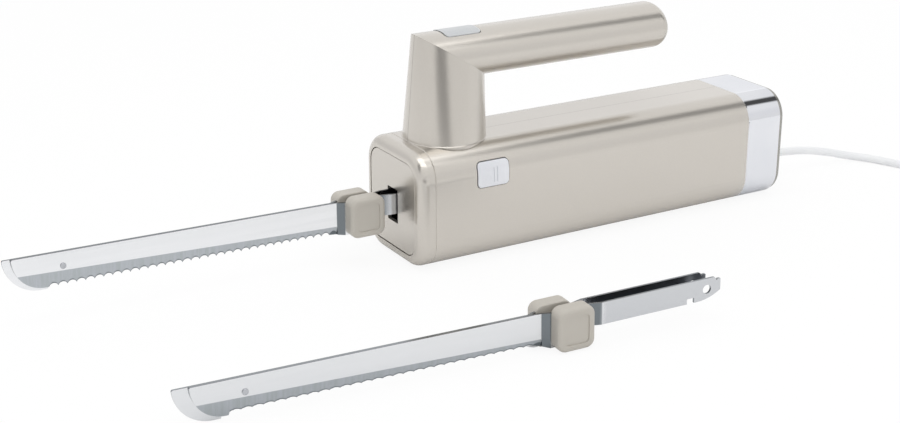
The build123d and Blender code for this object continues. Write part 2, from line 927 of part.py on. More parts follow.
wheel_twist = wheel_width * lead_per_radian / worm_pitch_radius / wheel_pitch_radius
wheel_plane = Plane(
    (front + wheel_x, -wheel_width / 2, wheel_z),
    x_dir=(0, 0, 1),
    z_dir=(0, 1, 0),
)
with BuildSketch(wheel_plane) as wheel_section:
    with BuildLine():
        tooth_angle = 2 * math.pi / wheel_teeth
        base_half = wheel_half_angle(wheel_pitch_radius * math.cos(math.radians(pressure_angle)))
        for tooth in range(wheel_teeth):
            middle = tooth * tooth_angle - wheel_twist / 2
            base_radius = wheel_pitch_radius * math.cos(math.radians(pressure_angle))
            tip_half = wheel_half_angle(wheel_tip_radius)
            pitch_half = wheel_half_angle(wheel_pitch_radius)
            for side in (-1, 1):
                root_point = polar(wheel_root_radius, middle + side * base_half)
                base_point = polar(base_radius, middle + side * base_half)
                pitch_point = polar(wheel_pitch_radius, middle + side * pitch_half)
                tip_point = polar(wheel_tip_radius, middle + side * tip_half)
                Line(root_point, base_point)
                ThreePointArc(base_point, pitch_point, tip_point)
            ThreePointArc(
                polar(wheel_tip_radius, middle - tip_half),
                polar(wheel_tip_radius, middle),
                polar(wheel_tip_radius, middle + tip_half),
            )
            ThreePointArc(
                polar(wheel_root_radius, middle + base_half),
                polar(wheel_root_radius, middle + tooth_angle / 2),
                polar(wheel_root_radius, middle + tooth_angle - base_half),
            )
    make_face()

with BuildPart() as drive_gear:
    add(
        Solid.extrude_linear_with_rotation(
            wheel_section.sketch.face(),
            center=wheel_plane.origin,
            normal=(0, wheel_width, 0),
            angle=math.degrees(wheel_twist),
        )
    )
    with BuildSketch(Plane.XZ.offset(wheel_width / 2)):
        with Locations((front + wheel_x, wheel_z)):
            Circle(axle_radius + turn_gap)
    extrude(amount=-wheel_width, mode=Mode.SUBTRACT)
drive_gear.part.label = "drive_gear"
export_step(drive_gear.part, "parts/drive_gear.step")

with BuildPart() as eccentric_discs:
    for side in (-1, 1):
        disc_plane = Plane(
            (front + wheel_x, side * (eccentric_start + touch_gap), wheel_z),
            x_dir=(1, 0, 0),
            z_dir=(0, side, 0),
        )
        with BuildSketch(disc_plane):
            with Locations((0, eccentric_throw)):
                Circle(eccentric_radius)
            Circle(axle_radius + turn_gap, mode=Mode.SUBTRACT)
        extrude(amount=eccentric_end - eccentric_start)
eccentric_discs.part.label = "eccentric_discs"
export_step(eccentric_discs.part, "parts/eccentric_discs.step")

with BuildPart() as gear_axle:
    with BuildSketch(Plane.XZ.offset(-chassis_outer)):
        with Locations((front + wheel_x, wheel_z)):
            Circle(axle_radius)
    extrude(amount=2 * chassis_outer)
gear_axle.part.label = "gear_axle"
export_step(gear_axle.part, "parts/gear_axle.step")

with BuildPart() as axle_bushes:
    with BuildSketch(Plane.XZ.offset(chassis_inner - bush_flange)):
        with Locations((front + wheel_x, wheel_z)):
            Circle(bush_flange_radius)
    extrude(amount=bush_flange)
    with BuildSketch(Plane.XZ.offset(chassis_inner)):
        with Locations((front + wheel_x, wheel_z)):
            Circle(bush_radius)
    extrude(amount=chassis_outer - chassis_inner)
    with BuildSketch(Plane.XZ.offset(chassis_inner - bush_flange)):
        with Locations((front + wheel_x, wheel_z)):
            Circle(axle_radius + turn_gap)
    extrude(amount=chassis_outer, mode=Mode.SUBTRACT)
    mirror(about=Plane.XZ)
axle_bushes.part.label = "axle_bushes"
export_step(axle_bushes.part, "parts/axle_bushes.step")

# Carriers: each holds one blade's tang and is pushed to and fro by its disc

yoke_half_slot = eccentric_radius + yoke_gap
yoke_half_height = eccentric_radius + eccentric_throw + guide_gap
latch_top = socket_low - latch_gap
latch_start_x = notch_x - tooth_width / 2
tooth_play = (notch_width - tooth_width) / 2

with BuildPart() as near_carrier:
    with BuildSketch(Plane.XZ.offset(carrier_inner)):
        slab((front + socket_start_x, socket_low), (front + socket_end_x, socket_high))
    extrude(amount=carrier_outer - carrier_inner)
    with BuildSketch(Plane.XZ.offset(carrier_plate_inner)):
        slab((front + socket_end_x - overrun, arm_low), (front + wheel_x, arm_high))
        yoke_half_length = yoke_half_slot + yoke_side
        slab(
            (front + wheel_x - yoke_half_length, yoke_low),
            (front + wheel_x + yoke_half_length, yoke_high),
        )
    extrude(amount=carrier_outer - carrier_plate_inner)
    with BuildSketch(Plane.XZ.offset(carrier_plate_inner)):
        with Locations((front + wheel_x, wheel_z)):
            Rectangle(2 * yoke_half_slot, 2 * yoke_half_height)
    extrude(amount=carrier_outer - carrier_plate_inner, mode=Mode.SUBTRACT)
    tang_inner = tang_offset - blade_thickness / 2
    with BuildSketch(Plane.XZ.offset(tang_inner - slide_gap)):
        slab(
            (front + socket_start_x, tang_low - seat_gap),
            (front + tang_end_x + seat_gap, tang_high + seat_gap),
        )
    extrude(amount=blade_thickness + 2 * slide_gap, mode=Mode.SUBTRACT)
    with BuildSketch(Plane.XZ.offset(latch_inner - slide_gap)):
        slab(
            (front + latch_start_x - tooth_play, socket_low),
            (front + latch_start_x + tooth_width + tooth_play, tooth_top + guide_gap),
        )
        slab(
            (front + latch_end_x - latch_thickness - slide_gap, socket_low),
            (front + latch_end_x + slide_gap, latch_top + latch_fold + guide_gap),
        )
    extrude(amount=latch_outer - latch_inner + 2 * slide_gap, mode=Mode.SUBTRACT)
near_carrier.part.label = "near_carrier"
export_step(near_carrier.part, "parts/near_carrier.step")

with BuildPart() as far_carrier:
    mirror(near_carrier.part, about=Plane.XZ)
far_carrier.part.label = "far_carrier"
export_step(far_carrier.part, "parts/far_carrier.step")

with BuildPart() as near_latch_spring:
    with BuildSketch(Plane.XZ.offset(latch_inner)):
        slab(
            (front + latch_start_x, latch_top - latch_thickness),
            (front + latch_end_x, latch_top),
        )
        slab(
            (front + latch_start_x, latch_top - latch_thickness),
            (front + latch_start_x + tooth_width, tooth_top),
        )
        slab(
            (front + latch_end_x - latch_thickness, latch_top - latch_thickness),
            (front + latch_end_x, latch_top + latch_fold),
        )
    extrude(amount=latch_outer - latch_inner)
    with BuildSketch(Plane.XZ.offset(latch_inner)):
        with Locations((front + notch_x, latch_top - latch_thickness / 2)):
            Rectangle(ear_length, latch_thickness)
    extrude(amount=ear_outer - latch_inner)
near_latch_spring.part.label = "near_latch_spring"
export_step(near_latch_spring.part, "parts/near_latch_spring.step")

with BuildPart() as far_latch_spring:
    mirror(near_latch_spring.part, about=Plane.XZ)
far_latch_spring.part.label = "far_latch_spring"
export_step(far_latch_spring.part, "parts/far_latch_spring.step")

# Chassis: two side plates with ribs, bosses and half bulkheads that meet at the middle

rib_end_x = window_start_x - overrun
rib_start_x = chassis_start_x + guide_rib_height
rear_rib_x = window_end_x + overrun

with BuildPart() as chassis_half:
    with BuildSketch(Plane.XZ.offset(chassis_inner)):
        slab((front + chassis_start_x, chassis_low), (front + chassis_end_x, chassis_high))
    extrude(amount=chassis_outer - chassis_inner)
    with BuildSketch(Plane.XZ.offset(chassis_inner - guide_rib_width)):
        rib_high = socket_high + guide_gap
        rib_low = socket_low - guide_gap
        slab((front + rib_start_x, rib_high), (front + rib_end_x, rib_high + guide_rib_height))
        slab((front + rear_rib_x, rib_high), (front + socket_end_x, rib_high + guide_rib_height))
        slab((front + rib_start_x, rib_low - guide_rib_height), (front + rib_end_x, rib_low))
    extrude(amount=guide_rib_width)
    with BuildSketch(Plane.XZ.offset(touch_gap)):
        with Locations(*through_places):
            Circle(chassis_boss_radius)
        slab(
            (front + front_bearing_x, bearing_block_low),
            (front + front_bearing_x + front_bearing_length, bearing_block_high),
        )
    extrude(amount=chassis_inner - touch_gap)
    with BuildSketch(Plane.YZ.offset(front + chassis_end_x)):
        slab((-bulkhead_half_width, bulkhead_low), (-touch_gap, chassis_high))
    extrude(amount=bulkhead_thickness)
    with BuildSketch(Plane.YZ.offset(front + chassis_end_x)):
        with Locations((0, motor_z)):
            Circle(can_boss_radius + seat_gap)
            with GridLocations(2 * motor_screw_spacing, 0, 2, 1):
                Circle(motor_screw_radius + slide_gap)
    extrude(amount=bulkhead_thickness, mode=Mode.SUBTRACT)
    with BuildSketch(Plane.YZ.offset(front + front_bearing_x)):
        with Locations((0, motor_z)):
            Circle(bearing_radius + touch_gap)
    extrude(amount=front_bearing_length, mode=Mode.SUBTRACT)
    with BuildSketch(Plane.XZ):
        with Locations(*through_places):
            Circle(screw_hole)
        with Locations((front + wheel_x, wheel_z)):
            Circle(bush_radius + touch_gap)
        slab((front + window_start_x, window_low), (front + window_end_x, window_high))
    extrude(amount=chassis_outer, mode=Mode.SUBTRACT)

with BuildPart() as chassis_left:
    add(chassis_half.part)
    with BuildSketch(Plane.XZ.offset(chassis_outer)):
        slab(
            (front + window_start_x - bulkhead_thickness, shelf_top - shelf_thickness),
            (front + window_end_x + bulkhead_thickness, shelf_top),
        )
    extrude(amount=shelf_end_y - chassis_outer)
    with BuildSketch(Plane.XY.offset(shelf_top)):
        with Locations((front + bar_x, -spring_y)):
            Circle(spring_pin_radius)
    extrude(amount=spring_pin_length)
chassis_left.part.label = "chassis_left"
export_step(chassis_left.part, "parts/chassis_left.step")

with BuildPart() as chassis_right:
    mirror(chassis_half.part, about=Plane.XZ)
chassis_right.part.label = "chassis_right"
export_step(chassis_right.part, "parts/chassis_right.step")

# Release button, the bar that it pushes down and the spring that lifts the bar

release_inner = wall + seat_gap + release_flange
ramp_sum = bar_top + bar_end_y - ramp_rise
wedge_sum = ramp_sum + wedge_gap * math.sqrt(2)


def release_skin(length, height, corner, outer, inner):
    """A plate that follows the housing's near side between two insets."""
    with BuildPart() as skin:
        with BuildSketch(Plane.YZ.offset(front + release_x - length / 2)) as ring:
            housing_outline(outer)
            housing_outline(inner, mode=Mode.SUBTRACT)
        extrude(ring.sketch, amount=length)
        with BuildSketch(Plane.XZ.offset(housing_width / 2 + overrun)) as area:
            with Locations((front + release_x, release_middle)):
                RectangleRounded(length, height, corner)
        extrude(area.sketch, amount=-(housing_width / 4), mode=Mode.INTERSECT)
    return skin.part


with BuildPart() as release_ridges:
    for side in (-1, 1):
        ridge_start = ridge_x + side * ridge_spacing / 2 - ridge_width / 2
        with BuildSketch(Plane.YZ.offset(front + ridge_start)):
            housing_outline(-release_proud - ridge_height)
            housing_outline(0, mode=Mode.SUBTRACT)
        extrude(amount=ridge_width)
    with BuildSketch(Plane.XZ.offset(housing_width / 2 + overrun)):
        with Locations((front + ridge_x, ridge_z)):
            Rectangle(release_length / 2, ridge_length)
    extrude(amount=-(housing_width / 4), mode=Mode.INTERSECT)

with BuildPart() as release_button:
    add(
        release_skin(
            release_length - 2 * release_gap,
            release_high - release_low - 2 * release_gap,
            release_corner - release_gap,
            -release_proud,
            release_inner,
        )
    )
    add(
        release_skin(
            release_length + 2 * release_flange,
            release_high - release_low + 2 * release_flange,
            release_corner,
            wall + seat_gap,
            release_inner,
        )
    )
    add(release_ridges.part)
    with BuildSketch(Plane.YZ.offset(front + bar_x - wedge_length / 2)):
        with BuildLine():
            Polyline(
                (-housing_width / 2 + wall, wedge_low),
                (wedge_low - wedge_sum, wedge_low),
                (wedge_high - wedge_sum, wedge_high),
                (-housing_width / 2 + wall, wedge_high),
                close=True,
            )
        make_face()
    extrude(amount=wedge_length)
release_button.part.label = "release_button"
export_step(release_button.part, "parts/release_button.step")

with BuildPart() as release_bar:
    with BuildSketch(Plane.YZ.offset(front + bar_x - bar_length / 2)):
        slab((-bar_leg_outer, bar_low), (bar_leg_outer, bar_high))
        for side in (-1, 1):
            with Locations((side * (bar_leg_inner + bar_leg_outer) / 2, (bar_leg_bottom + bar_high) / 2)):
                Rectangle(bar_leg_outer - bar_leg_inner, bar_high - bar_leg_bottom)
        with BuildLine():
            Polyline(
                (-bar_leg_inner, bar_low),
                (-bar_leg_inner, bar_top),
                (bar_top - ramp_sum, bar_top),
                (-bar_end_y, ramp_sum - bar_end_y),
                (-bar_end_y, bar_low),
                close=True,
            )
        make_face()
    extrude(amount=bar_length)
release_bar.part.label = "release_bar"
export_step(release_bar.part, "parts/release_bar.step")

with BuildPart() as release_spring:
    add(
        coil_spring(
            Vector(front + bar_x, -spring_y, shelf_top + touch_gap),
            release_spring_radius,
            bar_low - shelf_top - 2 * touch_gap,
            release_spring_turns,
        )
    )
release_spring.part.label = "release_spring"
export_step(release_spring.part, "parts/release_spring.step")

# Motor: can, magnets, armature, commutator, brushes, bearings, end cap and fan

can_x = chassis_end_x + bulkhead_thickness + touch_gap
can_end_x = can_x + can_length
can_inner = can_radius - can_wall
magnet_inner = can_inner - touch_gap - magnet_thickness
core_radius = magnet_inner - air_gap
core_x = can_x + (can_wall + can_length - core_length) / 2
magnet_x = core_x + (core_length - magnet_length) / 2
end_cap_x = can_end_x + touch_gap
end_wall_x = end_cap_x + end_cap_length - end_cap_wall


def across(x):
    """A plane square to the motor's axis, with its origin on the axis."""
    return Plane((front + x, 0, motor_z), x_dir=(0, 1, 0), z_dir=(1, 0, 0))


with BuildPart() as motor_can:
    with BuildSketch(across(can_x)):
        Circle(can_radius)
    extrude(amount=can_length)
    fillet(motor_can.edges().group_by(Axis.X)[0], radius=can_wall)
    with BuildSketch(across(can_x + can_wall)):
        Circle(can_inner)
    extrude(amount=can_length, mode=Mode.SUBTRACT)
    with BuildSketch(across(can_x - can_boss_length)):
        Circle(can_boss_radius)
    extrude(amount=can_boss_length)
    with BuildSketch(across(can_x - can_boss_length)):
        Circle(bearing_radius + touch_gap)
        with GridLocations(2 * motor_screw_spacing, 0, 2, 1):
            Circle(motor_screw_radius + touch_gap)
    extrude(amount=can_boss_length + can_wall, mode=Mode.SUBTRACT)
motor_can.part.label = "motor_can"
export_step(motor_can.part, "parts/motor_can.step")

with BuildPart() as motor_magnets:
    for magnet_middle in (0, 180):
        with BuildSketch(across(magnet_x)):
            first = math.radians(magnet_middle - magnet_angle / 2)
            centre = math.radians(magnet_middle)
            last = math.radians(magnet_middle + magnet_angle / 2)
            rim = can_inner - touch_gap
            with BuildLine():
                ThreePointArc(polar(rim, first), polar(rim, centre), polar(rim, last))
                Line(polar(rim, last), polar(magnet_inner, last))
                ThreePointArc(
                    polar(magnet_inner, last),
                    polar(magnet_inner, centre),
                    polar(magnet_inner, first),
                )
                Line(polar(magnet_inner, first), polar(rim, first))
            make_face()
        extrude(amount=magnet_length)
motor_magnets.part.label = "motor_magnets"
export_step(motor_magnets.part, "parts/motor_magnets.step")

with BuildPart() as armature_core:
    with BuildSketch(across(core_x)):
        Circle(core_radius)
        with PolarLocations(core_slot_at, core_slots):
            Circle(core_slot_radius, mode=Mode.SUBTRACT)
        with PolarLocations(core_radius, core_slots):
            Rectangle(2 * (core_radius - core_slot_at), slot_mouth, mode=Mode.SUBTRACT)
        Circle(shaft_radius + touch_gap, mode=Mode.SUBTRACT)
    extrude(amount=core_length)
armature_core.part.label = "armature_core"
export_step(armature_core.part, "parts/armature_core.step")

with BuildPart() as armature_windings:
    with BuildSketch(across(core_x - winding_overhang)):
        with PolarLocations(core_slot_at, core_slots):
            Circle(core_slot_radius - seat_gap)
    extrude(amount=core_length + 2 * winding_overhang)
    for ring_x in (core_x - winding_overhang, core_x + core_length + touch_gap):
        with BuildSketch(across(ring_x)):
            Circle(winding_radius)
        extrude(amount=winding_overhang - touch_gap)
    fillet(armature_windings.edges().group_by(Axis.X)[0], radius=winding_overhang / 2)
    fillet(armature_windings.edges().group_by(Axis.X)[-1], radius=winding_overhang / 2)
    with BuildSketch(across(core_x - winding_overhang)):
        Circle(core_slot_at - core_slot_radius)
    extrude(amount=core_length + 2 * winding_overhang, mode=Mode.SUBTRACT)
armature_windings.part.label = "armature_windings"
export_step(armature_windings.part, "parts/armature_windings.step")

with BuildPart() as commutator:
    with BuildSketch(across(commutator_x)):
        Circle(commutator_radius)
        with PolarLocations(commutator_radius, core_slots):
            Rectangle(commutator_radius / 2, commutator_slit, mode=Mode.SUBTRACT)
        Circle(shaft_radius + touch_gap, mode=Mode.SUBTRACT)
    extrude(amount=commutator_length)
commutator.part.label = "commutator"
export_step(commutator.part, "parts/commutator.step")

with BuildPart() as motor_shaft:
    with BuildSketch(across(shaft_start_x)):
        Circle(shaft_radius)
    extrude(amount=shaft_end_x - shaft_start_x)
    chamfer(motor_shaft.edges().group_by(Axis.X)[0], length=edge_break)
    chamfer(motor_shaft.edges().group_by(Axis.X)[-1], length=edge_break)
motor_shaft.part.label = "motor_shaft"
export_step(motor_shaft.part, "parts/motor_shaft.step")

bearing_spans = [
    (front_bearing_x, front_bearing_length),
    (can_x - can_boss_length, can_boss_length + can_wall),
    (end_wall_x, end_cap_wall + end_boss_length),
]
with BuildPart() as shaft_bearings:
    for bearing_x, bearing_length in bearing_spans:
        with BuildSketch(across(bearing_x)):
            Circle(bearing_radius)
            Circle(shaft_radius + turn_gap, mode=Mode.SUBTRACT)
        extrude(amount=bearing_length)
shaft_bearings.part.label = "shaft_bearings"
export_step(shaft_bearings.part, "parts/shaft_bearings.step")

brush_start = commutator_radius + turn_gap
holder_start = brush_start + holder_wall
holder_x = commutator_x + (commutator_length - brush_width) / 2
with BuildPart() as motor_end_cap:
    with BuildSketch(across(end_cap_x)):
        Circle(can_radius)
        Circle(can_radius - end_cap_wall, mode=Mode.SUBTRACT)
    extrude(amount=end_cap_length)
    with BuildSketch(across(end_wall_x)):
        Circle(can_radius)
    extrude(amount=end_cap_wall)
    fillet(motor_end_cap.edges().group_by(Axis.X)[-1], radius=can_wall)
    with BuildSketch(across(end_wall_x + end_cap_wall)):
        Circle(end_boss_radius)
    extrude(amount=end_boss_length)
    for side in (-1, 1):
        with BuildSketch(across(holder_x - holder_wall)):
            holder_span = can_radius - end_cap_wall / 2 - holder_start
            with Locations((side * (holder_start + holder_span / 2), 0)):
                Rectangle(holder_span, brush_height + 2 * (holder_wall + seat_gap))
        extrude(amount=end_wall_x - holder_x + holder_wall + touch_gap)
        with BuildSketch(across(holder_x - slide_gap)):
            with Locations((side * (brush_start + brush_length / 2), 0)):
                Rectangle(brush_length + 2 * seat_gap, brush_height + 2 * slide_gap)
        extrude(amount=brush_width + 2 * slide_gap, mode=Mode.SUBTRACT)
    with BuildSketch(across(end_wall_x)):
        Circle(bearing_radius + touch_gap)
    extrude(amount=end_cap_wall + end_boss_length, mode=Mode.SUBTRACT)
motor_end_cap.part.label = "motor_end_cap"
export_step(motor_end_cap.part, "parts/motor_end_cap.step")

with BuildPart() as brushes:
    for side in (-1, 1):
        with BuildSketch(across(holder_x)):
            with Locations((side * (brush_start + brush_length / 2), 0)):
                Rectangle(brush_length, brush_height)
        extrude(amount=brush_width)
    with BuildSketch(across(holder_x)):
        Circle(brush_start)
    extrude(amount=brush_width, mode=Mode.SUBTRACT)
brushes.part.label = "brushes"
export_step(brushes.part, "parts/brushes.step")

with BuildPart() as fan:
    with BuildSketch(across(fan_x)):
        Circle(fan_radius)
    extrude(amount=fan_disc)
    with BuildSketch(across(fan_x)):
        Circle(fan_hub_radius)
        with PolarLocations((fan_radius + fan_hub_radius) / 2, fan_blades):
            Rectangle(fan_radius - fan_hub_radius + fan_disc, fan_blade)
    extrude(amount=fan_width)
    with BuildSketch(across(fan_x)):
        Circle(fan_radius)
    extrude(amount=fan_width, mode=Mode.INTERSECT)
    with BuildSketch(across(fan_x)):
        Circle(shaft_radius + touch_gap)
    extrude(amount=fan_width, mode=Mode.SUBTRACT)
fan.part.label = "fan"
export_step(fan.part, "parts/fan.step")

with BuildPart() as motor_screws:
    with BuildSketch(across(chassis_end_x - touch_gap)):
        with GridLocations(2 * motor_screw_spacing, 0, 2, 1):
            Circle(motor_screw_head_radius)
    extrude(amount=-motor_screw_head)
    with BuildSketch(across(chassis_end_x - touch_gap)):
        with GridLocations(2 * motor_screw_spacing, 0, 2, 1):
            Circle(motor_screw_radius)
    extrude(amount=bulkhead_thickness + can_wall + motor_screw_bite)
motor_screws.part.label = "motor_screws"
export_step(motor_screws.part, "parts/motor_screws.step")

# Power board, its parts and the leads inside the housing

board_back_x = board_x + board_thickness
with BuildPart() as circuit_board:
    with BuildSketch(Plane.YZ.offset(front + board_x)):
        with Locations((0, board_low + board_height / 2)):
            Rectangle(board_width, board_height)
    extrude(amount=board_thickness)
circuit_board.part.label = "circuit_board"
export_step(circuit_board.part, "parts/circuit_board.step")

with BuildPart() as board_parts:
    with BuildSketch(Plane.YZ.offset(front + board_back_x + touch_gap)):
        with Locations((capacitor_y, capacitor_z)):
            Circle(capacitor_radius)
    extrude(amount=capacitor_length)
    with BuildSketch(Plane.YZ.offset(front + board_back_x + touch_gap)):
        with Locations((rectifier_y, rectifier_z)):
            Rectangle(rectifier_width, rectifier_height)
    extrude(amount=rectifier_depth)
board_parts.part.label = "board_parts"
export_step(board_parts.part, "parts/board_parts.step")


def lead(*points):
    """A round lead along a line of runs with rounded corners."""
    with BuildPart() as wire:
        with BuildLine() as route:
            if len(points) > 2:
                FilletPolyline(*points, radius=lead_bend)
            else:
                Line(*points)
        with BuildSketch(Plane(route.line @ 0, z_dir=route.line % 0)) as section:
            Circle(lead_radius)
        sweep(section.sketch, path=route.line)
    return wire.part


switch_bottom = switch_top_z - touch_gap - switch_height
post_lead_x = post_x + lead_radius
board_front_x = board_x - touch_gap
with BuildPart() as inner_leads:
    for side in (-1, 1):
        offset_x = side * lead_pitch
        offset_z = side * lead_pitch / 2
        add(
            lead(
                (front + power_button_x + offset_x, 0, switch_bottom - touch_gap),
                (front + power_button_x + offset_x, 0, switch_bottom - switch_height),
                (front + post_lead_x + offset_x, post_radius / 2, housing_height),
                (front + post_lead_x + offset_x, lead_run_y, lead_run_z + offset_z),
                (front + rear_low_boss_x, lead_run_y, lead_run_z + offset_z),
                (front + board_x - 2 * lead_bend, motor_lead_y, capacitor_z + 2 * offset_z),
                (front + board_front_x, motor_lead_y, capacitor_z + 2 * offset_z),
            )
        )
        motor_lead_z = motor_z - motor_lead_drop
        add(
            lead(
                (front + end_wall_x + end_cap_wall + touch_gap, side * motor_lead_y, motor_lead_z),
                (front + board_front_x, side * motor_lead_y, motor_lead_z),
            )
        )
        add(
            lead(
                (front + board_back_x + touch_gap, side * lead_pitch / 2, cord_exit_z),
                (front + tail_start_x - touch_gap, side * lead_pitch / 2, cord_exit_z),
            )
        )
inner_leads.part.label = "inner_leads"
export_step(inner_leads.part, "parts/inner_leads.step")

# Cord inside the housing, its strain relief and its clamp

cord_radius = cord_diameter / 2
relief_end = back + relief_length
with BuildPart() as cord_tail:
    with BuildSketch(Plane.YZ.offset(front + tail_start_x)):
        with Locations((0, cord_exit_z)):
            Circle(cord_radius)
    extrude(amount=relief_end - front - tail_start_x)
cord_tail.part.label = "cord_tail"
export_step(cord_tail.part, "parts/cord_tail.step")


def relief_cone(plane, base_radius, tip_radius, length):
    """A tapered sleeve along a plane's normal with grooves round it."""
    with BuildPart() as cone:
        with BuildSketch(plane) as base:
            Circle(base_radius)
        with BuildSketch(plane.offset(length)) as tip:
            Circle(tip_radius)
        loft(sections=[base.sketch, tip.sketch])
        groove_pitch = length / (relief_groove_count + 1)
        for groove in range(relief_groove_count):
            along = (groove + 1) * groove_pitch
            radius = base_radius + (tip_radius - base_radius) * along / length
            with BuildSketch(plane.offset(along - relief_groove_width / 2)) as ring:
                Circle(radius + relief_groove)
                Circle(radius - relief_groove, mode=Mode.SUBTRACT)
            extrude(ring.sketch, amount=relief_groove_width, mode=Mode.SUBTRACT)
        with BuildSketch(plane) as bore:
            Circle(cord_radius + touch_gap)
        extrude(bore.sketch, amount=length, mode=Mode.SUBTRACT)
    return cone.part


exit_plane = Plane((back, 0, cord_exit_z), x_dir=(0, 1, 0), z_dir=(1, 0, 0))
with BuildPart() as strain_relief:
    add(relief_cone(exit_plane, relief_base_radius, relief_tip_radius, relief_length))
    with BuildSketch(exit_plane.offset(-cap_thickness)):
        Circle(relief_neck_radius)
        Circle(cord_radius + touch_gap, mode=Mode.SUBTRACT)
    extrude(amount=cap_thickness)
    with BuildSketch(exit_plane.offset(-cap_thickness - touch_gap)):
        Circle(relief_flange_radius)
        Circle(cord_radius + touch_gap, mode=Mode.SUBTRACT)
    extrude(amount=-relief_flange + touch_gap)
    with BuildSketch(exit_plane.offset(-cap_thickness - touch_gap)):
        Circle(relief_neck_radius)
        Circle(cord_radius + touch_gap, mode=Mode.SUBTRACT)
    extrude(amount=2 * touch_gap)
strain_relief.part.label = "strain_relief"
export_step(strain_relief.part, "parts/strain_relief.step")

clamp_bottom = clamp_shelf_top + touch_gap
with BuildPart() as cord_clamp:
    with BuildSketch(Plane.YZ.offset(front + clamp_x)):
        slab((-clamp_half_width, clamp_bottom), (clamp_half_width, clamp_bottom + clamp_thickness))
        with Locations((0, cord_exit_z)):
            Circle(cord_radius + touch_gap, mode=Mode.SUBTRACT)
        with Locations((0, cord_exit_z - cord_radius)):
            Rectangle(cord_diameter + 2 * touch_gap, cord_diameter, mode=Mode.SUBTRACT)
    extrude(amount=clamp_length)
    with BuildSketch(Plane.XY.offset(clamp_bottom)):
        with Locations((front + clamp_x + clamp_length / 2, 0)):
            with GridLocations(0, 2 * clamp_screw_spacing, 1, 2):
                Circle(clamp_screw_radius + slide_gap)
    extrude(amount=clamp_thickness, mode=Mode.SUBTRACT)
cord_clamp.part.label = "cord_clamp"
export_step(cord_clamp.part, "parts/cord_clamp.step")

clamp_top = clamp_bottom + clamp_thickness + touch_gap
with BuildPart() as clamp_screws:
    with BuildSketch(Plane.XY.offset(clamp_top)):
        with Locations((front + clamp_x + clamp_length / 2, 0)):
            with GridLocations(0, 2 * clamp_screw_spacing, 1, 2):
                Circle(clamp_screw_head)
    extrude(amount=clamp_screw_head_height)
    with BuildSketch(Plane.XY.offset(clamp_top)):
        with Locations((front + clamp_x + clamp_length / 2, 0)):
            with GridLocations(0, 2 * clamp_screw_spacing, 1, 2):
                Circle(clamp_screw_radius)
    extrude(amount=-clamp_screw_length + seat_gap)
clamp_screws.part.label = "clamp_screws"
export_step(clamp_screws.part, "parts/clamp_screws.step")

# Blades: a side outline with its teeth, cut to a bent strip in plan

teeth_end_x = teeth_start_x + tooth_count * tooth_pitch
inner_line = blade_gap + blade_thickness / 2


def edge_height(x):
    """Height of the cutting edge, which drops slightly towards the handle."""
    share = (x - teeth_start_x) / (teeth_end_x - teeth_start_x)
    return edge_tip + (edge_root - edge_tip) * share


def edge_points(pitch, depth, rise):
    """Points of the cutting edge, tips with the valleys between, raised by rise."""
    count = round((teeth_end_x - teeth_start_x) / pitch)
    step = (teeth_end_x - teeth_start_x) / count
    points = []
    for tooth in range(count):
        tip = teeth_start_x + tooth * step
        points.append((tip, edge_height(tip) + rise))
        points.append((tip + step / 2, edge_height(tip + step / 2) + rise + depth))
    points.append((teeth_end_x, edge_root + rise))
    return [(front + x, z) for x, z in points]


def blade_side(tip_x, tip_run, tip_edge, edge, lag):
    """Side outline of one blade, its heel moved forward by lag, with hole and notch."""
    heel = front - lag
    step_base = tang_high - tang_step
    with BuildSketch(Plane.XZ) as side:
        with BuildLine():
            EllipticalCenterArc(
                (front + tip_x + tip_run, blade_back_tip),
                tip_run,
                blade_back_tip - tip_edge,
                start_angle=180,
                arc_size=90,
            )
            Polyline(
                (front + tip_x + tip_run, tip_edge),
                (front + teeth_start_x - overrun / 2, tip_edge),
                edge[0],
            )
            for valley in range(1, len(edge), 2):
                ThreePointArc(edge[valley - 1], edge[valley], edge[valley + 1])
            Polyline(
                edge[-1],
                (heel + jog_end_x, heel_low),
                (heel + pad_start_x + pad_corner, heel_low),
                (heel + spread_start_x - pad_corner, tang_low),
                (front + notch_x + notch_width, tang_low),
            )
            ThreePointArc(
                (front + notch_x + notch_width, tang_low),
                (front + tang_bow_x, tang_low + tang_bow),
                (front + tang_end_x, tang_low + tang_taper),
            )
            Polyline(
                (front + tang_end_x, tang_low + tang_taper),
                (front + tang_end_x, step_base + tang_nub),
                (front + tang_step_x + 2 * tang_step_run, step_base + tang_nub),
                (front + tang_step_x + tang_step_run, step_base),
                (front + tang_step_x, tang_high),
                (heel + spread_start_x, tang_high),
                (heel + jog_start_x, blade_back_root),
                (front + tip_x, blade_back_tip),
            )
        make_face()
        fillet(side.vertices().sort_by(Axis.X)[0], radius=tip_corner)
        fillet(side.vertices().sort_by(Axis.X)[-2:], radius=tang_end_round)
        step_corner = (front + tang_step_x, tang_high)
        fillet(side.vertices().sort_by_distance(step_corner)[0], radius=tang_top_round)
        with Locations((front + tang_hole_x, (tang_low + tang_high) / 2)):
            Circle(tang_hole_radius, mode=Mode.SUBTRACT)
        with Locations((front + notch_x, tang_low)):
            Rectangle(notch_width, 2 * notch_depth, mode=Mode.SUBTRACT)
    return side.sketch


